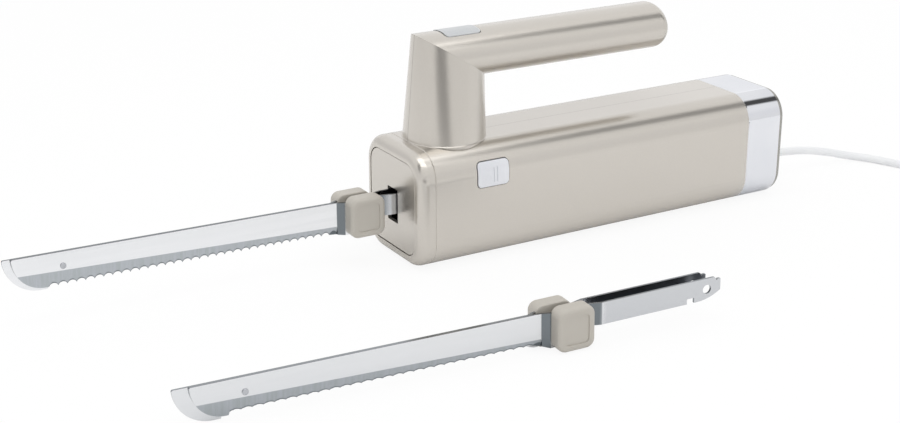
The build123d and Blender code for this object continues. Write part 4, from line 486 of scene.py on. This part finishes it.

# The rear cap has the housing's paint darkened as painted shade, for the collar's shade on
# it, and the shells have their parting line, 0.4 mm wide, along the middle.
cap_in_painted_shade_settings = dict(champagne_settings, Paint=linear(158, 157, 152), Drift=linear(154, 153, 148))
cap_in_painted_shade = finish("rear_cap_in_painted_shade", sprayed, cap_in_painted_shade_settings, orange_peel, champagne_shader)
dress(cap_in_painted_shade, "shell_paint", "rear_cap")
champagne_settings["Parting"] = linear(150, 144, 137)
champagne_settings["Parting Width"] = 0.0004
parted_champagne = finish(
    "parted_champagne_paint", sprayed, champagne_settings, orange_peel, champagne_shader
)
dress(parted_champagne, "shell_paint", "housing_left_shell", "housing_right_shell")


# Foot of the post. The post grows out of the housing's top in a small hollow fillet, which
# is filled and sprayed with the shells, so it has no edge of its own.
foot_x, foot_z, foot_radius, foot_flare = -0.09365, 0.066, 0.0233, 0.0006
foot_front, foot_sink, foot_weld = -0.11705, 0.00005, 0.000001
foot_build = bmesh.new()
foot_steps, foot_sides = 6, 128


def foot_ring(radius, level):
    """A ring of points round the post, cut off by the post's flat front."""
    turns = [2 * math.pi * side / foot_sides for side in range(foot_sides)]
    return [
        foot_build.verts.new((
            max(foot_x + radius * math.cos(turn), foot_front), radius * math.sin(turn), level
        ))
        for turn in turns
    ]


flare_rings = []
for step in range(foot_steps + 1):
    turned = 0.5 * math.pi * step / foot_steps
    flare_rings.append(foot_ring(
        foot_radius + foot_flare * (1 - math.sin(turned)) - foot_sink,
        foot_z + foot_flare * (1 - math.cos(turned)) - foot_sink,
    ))
core_ring = foot_ring(foot_radius - foot_flare, foot_z - foot_sink)
for lower, upper in zip([core_ring] + flare_rings, flare_rings + [core_ring]):
    band(foot_build, lower, upper)
bmesh.ops.remove_doubles(foot_build, verts=foot_build.verts, dist=foot_weld)
post_foot_flare = made_of(foot_build, "post_foot_flare", champagne, smooth=True)
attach(post_foot_flare, "housing")


# Housing screws. Six steel thread-forming screws sit deep in the far shell's bosses and
# in the grip, blackened so that they don't catch the light.
dark_steel = finish(
    "dark_steel",
    worked,
    {
        "Metal": linear(120, 120, 124),
        "Streak": linear(90, 90, 94),
        "Streak Share": 0.4,
        "Streak Spacing": (700.0, 700.0, 700.0),
        "Bloom": 80.0,
        "Dull": 0.35,
        "Dull Spread": 0.06,
    },
    relief=0.00001,
    shader={"Metallic": 1.0},
)
dress(dark_steel, "inner_steel", "shell_screws", "motor_screws", "clamp_screws")


# Rear collar. A moulded sleeve, plated with bright chromium over copper and nickel, so it
# is a mirror with only the faintest haze of handling.
plated, given, out = open_group(
    "bright_plating",
    [
        ("Metal", "NodeSocketColor", (0.9, 0.9, 0.91, 1.0)),
        ("Haze Color", "NodeSocketColor", (0.84, 0.85, 0.87, 1.0)),
        ("Haze Scale", "NodeSocketFloat", 30.0),
        ("Dull", "NodeSocketFloat", 0.05),
        ("Dull Spread", "NodeSocketFloat", 0.03),
    ],
)
spot = put(plated, "ShaderNodeTexCoord").outputs["Object"]
haze = noise(plated, spot, given["Haze Scale"], 3.0)
plated.links.new(
    mix_colours(plated, spread(plated, haze, 0.0, 1.0), given["Metal"], given["Haze Color"]),
    out["Color"],
)
uneven = sum_of(plated, spread(plated, haze, 0.0, 1.0), given["Dull Spread"], "MULTIPLY")
plated.links.new(sum_of(plated, given["Dull"], uneven), out["Roughness"])
plated.links.new(haze, out["Height"])

chromium = finish(
    "bright_chromium",
    plated,
    {
        "Metal": linear(229, 230, 234),
        "Haze Color": linear(222, 224, 229),
        "Haze Scale": 28.0,
        "Dull": 0.05,
        "Dull Spread": 0.03,
    },
    shader={"Metallic": 1.0},
)
dress(chromium, "collar_chrome", "rear_collar")


# Buttons. The release button on the near side and the on switch in the grip are moulded
# and sprayed in cool silver, finer than the housing's paint; the on switch's copy of the
# paint is a tone darker, painted shade.
silver_settings = {
    "Paint": linear(238, 239, 242),
    "Flake": linear(244, 245, 248),
    "Flake Share": 0.25,
    "Flake Scale": 6000.0,
    "Drift": linear(222, 224, 229),
    "Drift Scale": 20.0,
    "Dull": 0.32,
    "Dull Spread": 0.02,
    "Peel Scale": 900.0,
}
silver_shader = {"Metallic": 0.7, "Specular IOR Level": 0.4}
silver_peel = 0.000003
silver = finish("silver_paint", sprayed, silver_settings, silver_peel, silver_shader)
dress(silver, "button_silver", "release_button")
# The on switch's copy of the silver is darker: painted shade.
silver_settings["Paint"], silver_settings["Drift"] = linear(204, 207, 208), linear(196, 199, 201)
silver_with_painted_shade = finish("silver_paint_with_painted_shade", sprayed, silver_settings, silver_peel, silver_shader)
dress(silver_with_painted_shade, "button_silver", "power_button")


# Blades. Each is a strip of stainless steel, blanked, ground flat along its length and
# ground across towards the edge, with the teeth cut by a wheel; a rivet joins each pair.
# The tang keeps the duller skin of the rolled strip, and the inside faces of a pair's tangs
# are darker with painted shade. The rims are coloured darker, the step up to the tang has a
# painted dark reflection, the bevel is darker than the flat as painted reflection besides its
# cross streaks, and painted shade darkens the gullets between the teeth, whose place is
# reckoned from their pitch.
ground, given, out = open_group(
    "ground_blade",
    [
        ("Flat", "NodeSocketColor", (0.8, 0.8, 0.8, 1.0)),
        ("Bevel", "NodeSocketColor", (0.45, 0.47, 0.48, 1.0)),
        ("Bevel Streak", "NodeSocketColor", (0.5, 0.5, 0.56, 1.0)),
        ("Rim", "NodeSocketColor", (0.2, 0.2, 0.2, 1.0)),
        ("Tang", "NodeSocketColor", (0.5, 0.5, 0.5, 1.0)),
        ("Tang Start", "NodeSocketFloat", -0.135),
        ("Streak Spacing", "NodeSocketVector", (14.0, 600.0, 600.0)),
        ("Streak Share", "NodeSocketFloat", 0.1),
        ("Dull", "NodeSocketFloat", 0.2),
        ("Tang Dull", "NodeSocketFloat", 0.34),
        ("Blade Place", "NodeSocketVector", (0.0, 0.0, 0.0)),
        ("Blade Turn", "NodeSocketVector", (0.0, 0.0, 0.0)),
        ("Gullet", "NodeSocketColor", (0.15, 0.16, 0.17, 1.0)),
        ("Teeth Start", "NodeSocketFloat", -0.32125),
        ("Tooth Pitch", "NodeSocketFloat", 0.0047),
        ("Tooth Depth", "NodeSocketFloat", 0.0017),
        ("Edge Start", "NodeSocketFloat", 0.0234),
        ("Edge Slope", "NodeSocketFloat", -0.01741),
        ("Gullet Depth", "NodeSocketFloat", 0.0009),
        ("Jog", "NodeSocketColor", (0.2, 0.21, 0.22, 1.0)),
        ("Inside", "NodeSocketColor", (0.15, 0.15, 0.16, 1.0)),
        ("Inside Way", "NodeSocketFloat", 1.0),
    ],
)
coordinates = put(ground, "ShaderNodeTexCoord")
spot = coordinates.outputs["Object"]
facing = put(ground, "ShaderNodeSeparateXYZ", {}, {"Vector": coordinates.outputs["Normal"]})
place = put(ground, "ShaderNodeSeparateXYZ", {}, {"Vector": spot})
along_streaks = noise(ground, scaled(ground, spot, given["Streak Spacing"]), 1.0, 3.0)
cross_spacing, bevel_lean, rim_lean, tang_blend = (900.0, 20.0, 60.0), -0.045, 0.6, 0.004
cross_streaks = noise(ground, scaled(ground, spot, cross_spacing), 1.0, 2.0)
streaked = sum_of(
    ground, spread(ground, along_streaks, 0.0, 1.0), given["Streak Share"], "MULTIPLY"
)
flat = mix_colours(ground, streaked, given["Flat"], given["Bevel"])
bevel = mix_colours(
    ground, spread(ground, cross_streaks, 0.0, 0.8), given["Bevel"], given["Bevel Streak"]
)
on_bevel = sum_of(ground, facing.outputs["Z"], bevel_lean, "LESS_THAN")
upright = put(
    ground,
    "ShaderNodeMapping",
    {"vector_type": "TEXTURE"},
    {
        "Vector": spot,
        "Location": given["Blade Place"],
        "Rotation": given["Blade Turn"],
    },
).outputs["Vector"]
on_blade = put(ground, "ShaderNodeSeparateXYZ", {}, {"Vector": upright})
from_start = sum_of(ground, on_blade.outputs["X"], given["Teeth Start"], "SUBTRACT")
tooth = sum_of(ground, from_start, given["Tooth Pitch"], "DIVIDE")
share_of_tooth = sum_of(ground, tooth, 0.0, "FRACT")
quarter_arch = sum_of(
    ground, share_of_tooth, sum_of(ground, 1.0, share_of_tooth, "SUBTRACT"), "MULTIPLY"
)
gullet_rise = sum_of(
    ground, sum_of(ground, quarter_arch, 4.0, "MULTIPLY"), given["Tooth Depth"], "MULTIPLY"
)
edge_level = sum_of(
    ground,
    sum_of(ground, from_start, given["Edge Slope"], "MULTIPLY"),
    given["Edge Start"],
)
over_edge = sum_of(
    ground,
    sum_of(ground, on_blade.outputs["Z"], edge_level, "SUBTRACT"),
    gullet_rise,
    "SUBTRACT",
)
near_edge = sum_of(ground, over_edge, given["Gullet Depth"], "DIVIDE")
in_gullet = sum_of(
    ground,
    spread(ground, near_edge, 1.0, 0.0, 0.35, 1.0),
    sum_of(ground, from_start, 0.0, "GREATER_THAN"),
    "MULTIPLY",
)
sideways = sum_of(ground, facing.outputs["Y"], 0.0, "ABSOLUTE")
on_rim = sum_of(ground, sideways, rim_lean, "LESS_THAN")
past_start = sum_of(ground, place.outputs["X"], given["Tang Start"], "SUBTRACT")
on_tang = spread(ground, past_start, 0.0, 1.0, 0.0, tang_blend)
# On the bevel the colour is darker than the flat, a painted reflection, with its real cross-ground
# streaks.
blade_skin = mix_colours(ground, on_bevel, flat, bevel)
# Near the gullets the bevel takes the Gullet colour, painted shade.
blade_skin = mix_colours(
    ground, sum_of(ground, in_gullet, on_bevel, "MULTIPLY"), blade_skin, given["Gullet"]
)
# Faces of the step up to the tang turned towards the tip take the Jog colour, a painted dark
# reflection.
on_jog = spread(ground, facing.outputs["X"], 0.0, 1.0, -0.05, -0.2)
blade_skin = mix_colours(ground, on_jog, blade_skin, given["Jog"])
# The inside faces of a pair's tangs take the Inside colour, painted shade from the other tang.
inwards = sum_of(ground, facing.outputs["Y"], given["Inside Way"], "MULTIPLY")
tang_colour_and_inner_shade = mix_colours(
    ground, spread(ground, inwards, 0.0, 1.0, 0.4, 0.6), given["Tang"], given["Inside"]
)
blade_skin = mix_colours(ground, on_tang, blade_skin, tang_colour_and_inner_shade)
# Faces turned away from the sides, the rims, take the darker Rim colour.
ground.links.new(mix_colours(ground, on_rim, blade_skin, given["Rim"]), out["Color"])
duller = spread(ground, on_tang, given["Dull"], given["Tang Dull"], 0.0, 1.0)
uneven = sum_of(ground, spread(ground, along_streaks, -0.02, 0.02), duller)
ground.links.new(uneven, out["Roughness"])
ground.links.new(along_streaks, out["Height"])

blade_settings = {
    "Flat": linear(236, 237, 239),
    # Bevel: darker than the flat as painted reflection; Bevel Streak gives its real cross streaks.
    "Bevel": linear(172, 178, 180),
    "Bevel Streak": linear(186, 189, 196),
    "Rim": linear(112, 116, 120),
    "Tang": linear(203, 205, 208),
    "Tang Start": -0.1345,
    "Streak Spacing": (14.0, 500.0, 500.0),
    "Streak Share": 0.06,
    "Dull": 0.17,
    "Tang Dull": 0.3,
    # Gullet: painted shade between the teeth.
    "Gullet": linear(104, 110, 114),
    # Jog: painted dark reflection on the step up to the tang.
    "Jog": linear(118, 124, 128),
    # Inside: painted shade on the inner faces of a pair's tangs.
    "Inside": linear(112, 115, 120),
}


def grind(name, near_node, far_node):
    """The same ground steel for both blades of a pair, with painted shade between their tangs."""
    for side, node, way in (("near", near_node, 1.0), ("far", far_node, -1.0)):
        blade_settings["Inside Way"] = way
        steel = finish(f"{name}_{side}", ground, blade_settings, shader={"Metallic": 1.0})
        dress(steel, "blade_steel", node)


grind("ground_steel", "near_blade", "far_blade")
spare_turn, spare_pitch = math.radians(-4.0), math.radians(1.1525)
spare_foot = Vector((-0.12025, -0.1435, 0.0046))
spare_pivot = Vector((-0.1556, 0.0, 0.0236))
spare_slide = Vector((0.0035, 0.0, 0.0))
spare_way = Matrix.Rotation(spare_turn, 3, "Z") @ Matrix.Rotation(-spare_pitch, 3, "Y")
blade_settings["Tang Start"] = -0.0925
blade_settings["Blade Turn"] = tuple(spare_way.to_euler())
blade_settings["Blade Place"] = tuple(spare_foot + spare_way @ (spare_slide - spare_pivot))
spare_teeth_length, spare_teeth = 0.1551, 29
blade_settings["Tooth Pitch"] = spare_teeth_length / spare_teeth
blade_settings["Tooth Depth"] = 0.0008
blade_settings["Edge Start"] = 0.025
blade_settings["Gullet Depth"] = 0.0007
blade_settings["Rim"] = linear(146, 150, 154)
grind("spare_ground_steel", "spare_near_blade", "spare_far_blade")
rivet_steel = finish(
    "turned_rivet_steel",
    worked,
    {
        "Metal": linear(196, 198, 202),
        "Streak": linear(150, 153, 158),
        "Streak Share": 0.4,
        "Streak Spacing": (900.0, 900.0, 900.0),
        "Bloom": 200.0,
        "Dull": 0.3,
        "Dull Spread": 0.05,
    },
    shader={"Metallic": 1.0},
)
dress(rivet_steel, "blade_steel", "blade_rivet", "spare_rivet")


# Finger pads. Matt plastic, moulded round each blade in two halves of the same tool,
# with a shallow panel for the thumb on the outside.
pad_plastic = finish(
    "pad_plastic",
    moulded,
    {
        "Plastic": linear(188, 183, 174),
        "Cloud": linear(182, 177, 168),
        "Cloud Share": 0.4,
        "Cloud Scale": 70.0,
        "Grain Scale": 2200.0,
        "Dull": 0.4,
        "Dull Spread": 0.05,
    },
    relief=0.00002,
)
dress(pad_plastic, "pad_plastic", "near_pad", "far_pad", "spare_near_pad", "spare_far_pad")


# Drive and motor. Machined and pressed steel, sintered bronze, enamelled copper, ferrite
# and glass-filled nylon, as each piece inside the housing is made.
bright_steel = finish(
    "bright_steel",
    worked,
    {
        "Metal": linear(196, 197, 200),
        "Streak": linear(160, 161, 165),
        "Streak Share": 0.4,
        "Streak Spacing": (600.0, 80.0, 600.0),
        "Bloom": 70.0,
        "Dull": 0.28,
        "Dull Spread": 0.06,
    },
    relief=0.00001,
    shader={"Metallic": 1.0},
)
dress(
    bright_steel,
    "inner_steel",
    "worm",
    "gear_axle",
    "motor_shaft",
    "armature_core",
    "near_latch_spring",
    "far_latch_spring",
    "power_button_spring",
    "release_spring",
)
zinc_can = finish(
    "zinc_can",
    worked,
    {
        "Metal": linear(186, 188, 190),
        "Streak": linear(158, 161, 165),
        "Streak Share": 0.5,
        "Streak Spacing": (120.0, 260.0, 260.0),
        "Bloom": 35.0,
        "Dull": 0.36,
        "Dull Spread": 0.1,
    },
    relief=0.00001,
    shader={"Metallic": 1.0},
)
dress(zinc_can, "inner_steel", "motor_can")
bronze = finish(
    "sintered_bronze",
    moulded,
    {
        "Plastic": linear(186, 140, 84),
        "Cloud": linear(150, 108, 62),
        "Cloud Share": 0.6,
        "Cloud Scale": 500.0,
        "Grain Scale": 2600.0,
        "Dull": 0.42,
        "Dull Spread": 0.08,
    },
    relief=0.00004,
    shader={"Metallic": 1.0},
)
dress(bronze, "bearing_bronze", "axle_bushes", "shaft_bearings")
copper = finish(
    "enamelled_copper",
    worked,
    {
        "Metal": linear(184, 98, 52),
        "Streak": linear(128, 60, 28),
        "Streak Share": 0.6,
        "Streak Spacing": (500.0, 500.0, 500.0),
        "Bloom": 60.0,
        "Dull": 0.3,
        "Dull Spread": 0.06,
    },
    relief=0.00003,
    shader={"Metallic": 0.9, "Coat Weight": 0.4, "Coat Roughness": 0.15},
)
dress(copper, "copper", "armature_windings", "commutator")
ferrite = finish(
    "pressed_ferrite",
    moulded,
    {
        "Plastic": linear(62, 62, 65),
        "Cloud": linear(46, 46, 49),
        "Cloud Share": 0.6,
        "Cloud Scale": 260.0,
        "Grain Scale": 2600.0,
        "Dull": 0.68,
        "Dull Spread": 0.06,
    },
    relief=0.00004,
)
dress(ferrite, "ferrite", "motor_magnets", "brushes")
filled_nylon = finish(
    "filled_nylon",
    moulded,
    {
        "Plastic": linear(96, 98, 102),
        "Cloud": linear(84, 86, 90),
        "Cloud Share": 0.5,
        "Cloud Scale": 90.0,
        "Grain Scale": 1600.0,
        "Dull": 0.5,
        "Dull Spread": 0.07,
    },
    relief=0.00004,
)
dress(
    filled_nylon,
    "chassis_plastic",
    "chassis_left",
    "chassis_right",
    "switch_holder",
    "cord_clamp",
)
white_acetal = finish(
    "white_acetal",
    moulded,
    {
        "Plastic": linear(232, 229, 218),
        "Cloud": linear(222, 218, 205),
        "Cloud Share": 0.4,
        "Cloud Scale": 80.0,
        "Grain Scale": 1500.0,
        "Dull": 0.34,
        "Dull Spread": 0.05,
    },
    relief=0.00002,
)
dress(
    white_acetal,
    "gear_plastic",
    "drive_gear",
    "eccentric_discs",
    "near_carrier",
    "far_carrier",
    "release_bar",
)
black_moulding = finish(
    "black_moulding",
    moulded,
    {
        "Plastic": linear(44, 44, 46),
        "Cloud": linear(36, 36, 38),
        "Cloud Share": 0.5,
        "Cloud Scale": 90.0,
        "Grain Scale": 1700.0,
        "Dull": 0.48,
        "Dull Spread": 0.07,
    },
    relief=0.00004,
)
dress(
    black_moulding,
    "black_plastic",
    "motor_end_cap",
    "fan",
    "microswitch",
    "switch_plunger",
    "board_parts",
)


# Power board and leads. A coated board carries the rectifier and the capacitor; stranded
# leads in red insulation run from it to the switch and the motor.
coated_board = finish(
    "coated_board",
    worked,
    {
        "Metal": linear(48, 112, 70),
        "Streak": linear(34, 88, 54),
        "Streak Share": 0.6,
        "Streak Spacing": (300.0, 700.0, 700.0),
        "Bloom": 120.0,
        "Dull": 0.35,
        "Dull Spread": 0.06,
    },
    relief=0.00003,
)
dress(coated_board, "board_green", "circuit_board")
red_insulation = finish(
    "red_insulation",
    moulded,
    {
        "Plastic": linear(186, 52, 42),
        "Cloud": linear(170, 44, 36),
        "Cloud Share": 0.4,
        "Cloud Scale": 150.0,
        "Grain Scale": 1500.0,
        "Dull": 0.42,
        "Dull Spread": 0.05,
    },
    relief=0.00002,
)
dress(red_insulation, "lead_rubber", "inner_leads")


# Studio. A pale table runs back without an edge under a broad overhead light, with a low
# strip of light behind it. The room is pale too, with two dark gaps that only reflections
# find: one overhead, along the knife, and one low down beyond the table's front edge.
table_mesh = bpy.data.meshes.new("table_top")
reach, table_edge, table_z = 6.0, -0.6, -0.0002
seen_glow, mirrored_glow = 0.9, 0.1
table_mesh.from_pydata(
    [
        (-reach, table_edge, table_z),
        (reach, table_edge, table_z),
        (reach, reach, table_z),
        (-reach, reach, table_z),
    ],
    [],
    [(0, 1, 2, 3)],
)
table_top = bpy.data.objects.new("table_top", table_mesh)
bpy.context.scene.collection.objects.link(table_top)
table_material = bpy.data.materials.new("table_white")
table_material.use_nodes = True
tree = table_material.node_tree
tree.nodes.remove(tree.nodes["Principled BSDF"])
rays = put(tree, "ShaderNodeLightPath")
share = sum_of(
    tree,
    sum_of(tree, rays.outputs["Is Camera Ray"], seen_glow, "MULTIPLY"),
    sum_of(tree, rays.outputs["Is Glossy Ray"], mirrored_glow, "MULTIPLY"),
)
matt = put(tree, "ShaderNodeBsdfDiffuse", {}, {"Color": (0.93, 0.93, 0.93, 1.0)})
glow = put(tree, "ShaderNodeEmission", {}, {"Color": (1.0, 1.0, 1.0, 1.0), "Strength": 1.0})
blend = put(tree, "ShaderNodeMixShader", {}, {0: share, 1: matt.outputs[0], 2: glow.outputs[0]})
tree.links.new(blend.outputs[0], tree.nodes["Material Output"].inputs["Surface"])
table_mesh.materials.append(table_material)

world = bpy.data.worlds.new("studio")
world.use_nodes = True
bpy.context.scene.world = world
tree = world.node_tree
background = tree.nodes["Background"]
way_out = put(tree, "ShaderNodeTexCoord").outputs["Generated"]
parts_of_way = put(tree, "ShaderNodeSeparateXYZ", {}, {"Vector": way_out}).outputs


def dark_gap(component, stops):
    """The room's brightness along one component of the direction, -1 to 1."""
    share = spread(tree, parts_of_way[component], 0.0, 1.0, -1.0, 1.0)
    levels = put(tree, "ShaderNodeValToRGB", {}, {"Fac": share})
    for element, (position, level) in zip(levels.color_ramp.elements, (stops[0], stops[-1])):
        element.position, element.color = (position + 1) / 2, (level, level, level, 1.0)
    for position, level in stops[1:-1]:
        levels.color_ramp.elements.new((position + 1) / 2).color = (level, level, level, 1.0)
    return levels.outputs["Color"]


roof, wall, gap = 0.96, 0.88, 0.08
behind = spread(tree, parts_of_way["Y"], 0.0, 1.0, -0.1, 0.3)
room = mix_colours(tree, behind, (0.88, 0.88, 0.89, 1.0), (0.78, 0.78, 0.79, 1.0))
high_up = spread(tree, parts_of_way["Z"], 0.0, 1.0, 0.3, 0.5)
overhead_gap = dark_gap("Y", ((-0.42, roof), (-0.33, gap), (-0.12, gap), (0.0, roof)))
room = mix_colours(tree, high_up, room, overhead_gap)
low_down = spread(tree, parts_of_way["Z"], 0.0, 1.0, 0.16, 0.06)
in_front = spread(tree, parts_of_way["Y"], 0.0, 1.0, -0.1, -0.3)
front_gap = dark_gap("X", ((-0.76, wall), (-0.62, gap), (-0.28, gap), (-0.1, wall)))
room = mix_colours(tree, sum_of(tree, low_down, in_front, "MULTIPLY"), room, front_gap)
rays = put(tree, "ShaderNodeLightPath")
seen = mix_colours(tree, rays.outputs["Is Camera Ray"], room, (1.0, 1.0, 1.0, 1.0))
tree.links.new(seen, background.inputs["Color"])
background.inputs["Strength"].default_value = 1.0


def soft_light(name, place, aim, width, height, watts):
    """A rectangular soft box, aimed at a point."""
    data = bpy.data.lights.new(name, "AREA")
    data.shape = "RECTANGLE"
    data.size, data.size_y, data.energy = width, height, watts
    light = bpy.data.objects.new(name, data)
    light.location = place
    light.rotation_mode = "QUATERNION"
    light.rotation_quaternion = (Vector(aim) - Vector(place)).to_track_quat("-Z", "Y")
    bpy.context.scene.collection.objects.link(light)


soft_light("overhead", (-0.1, -0.35, 1.5), (-0.05, 0.0, 0.0), 1.6, 1.0, 9.3)
soft_light("back_strip", (0.81, 1.375, 0.54), (0.0, 0.0, 0.06), 2.4, 0.6, 1.0)

bpy.context.scene.view_settings.view_transform = "Standard"
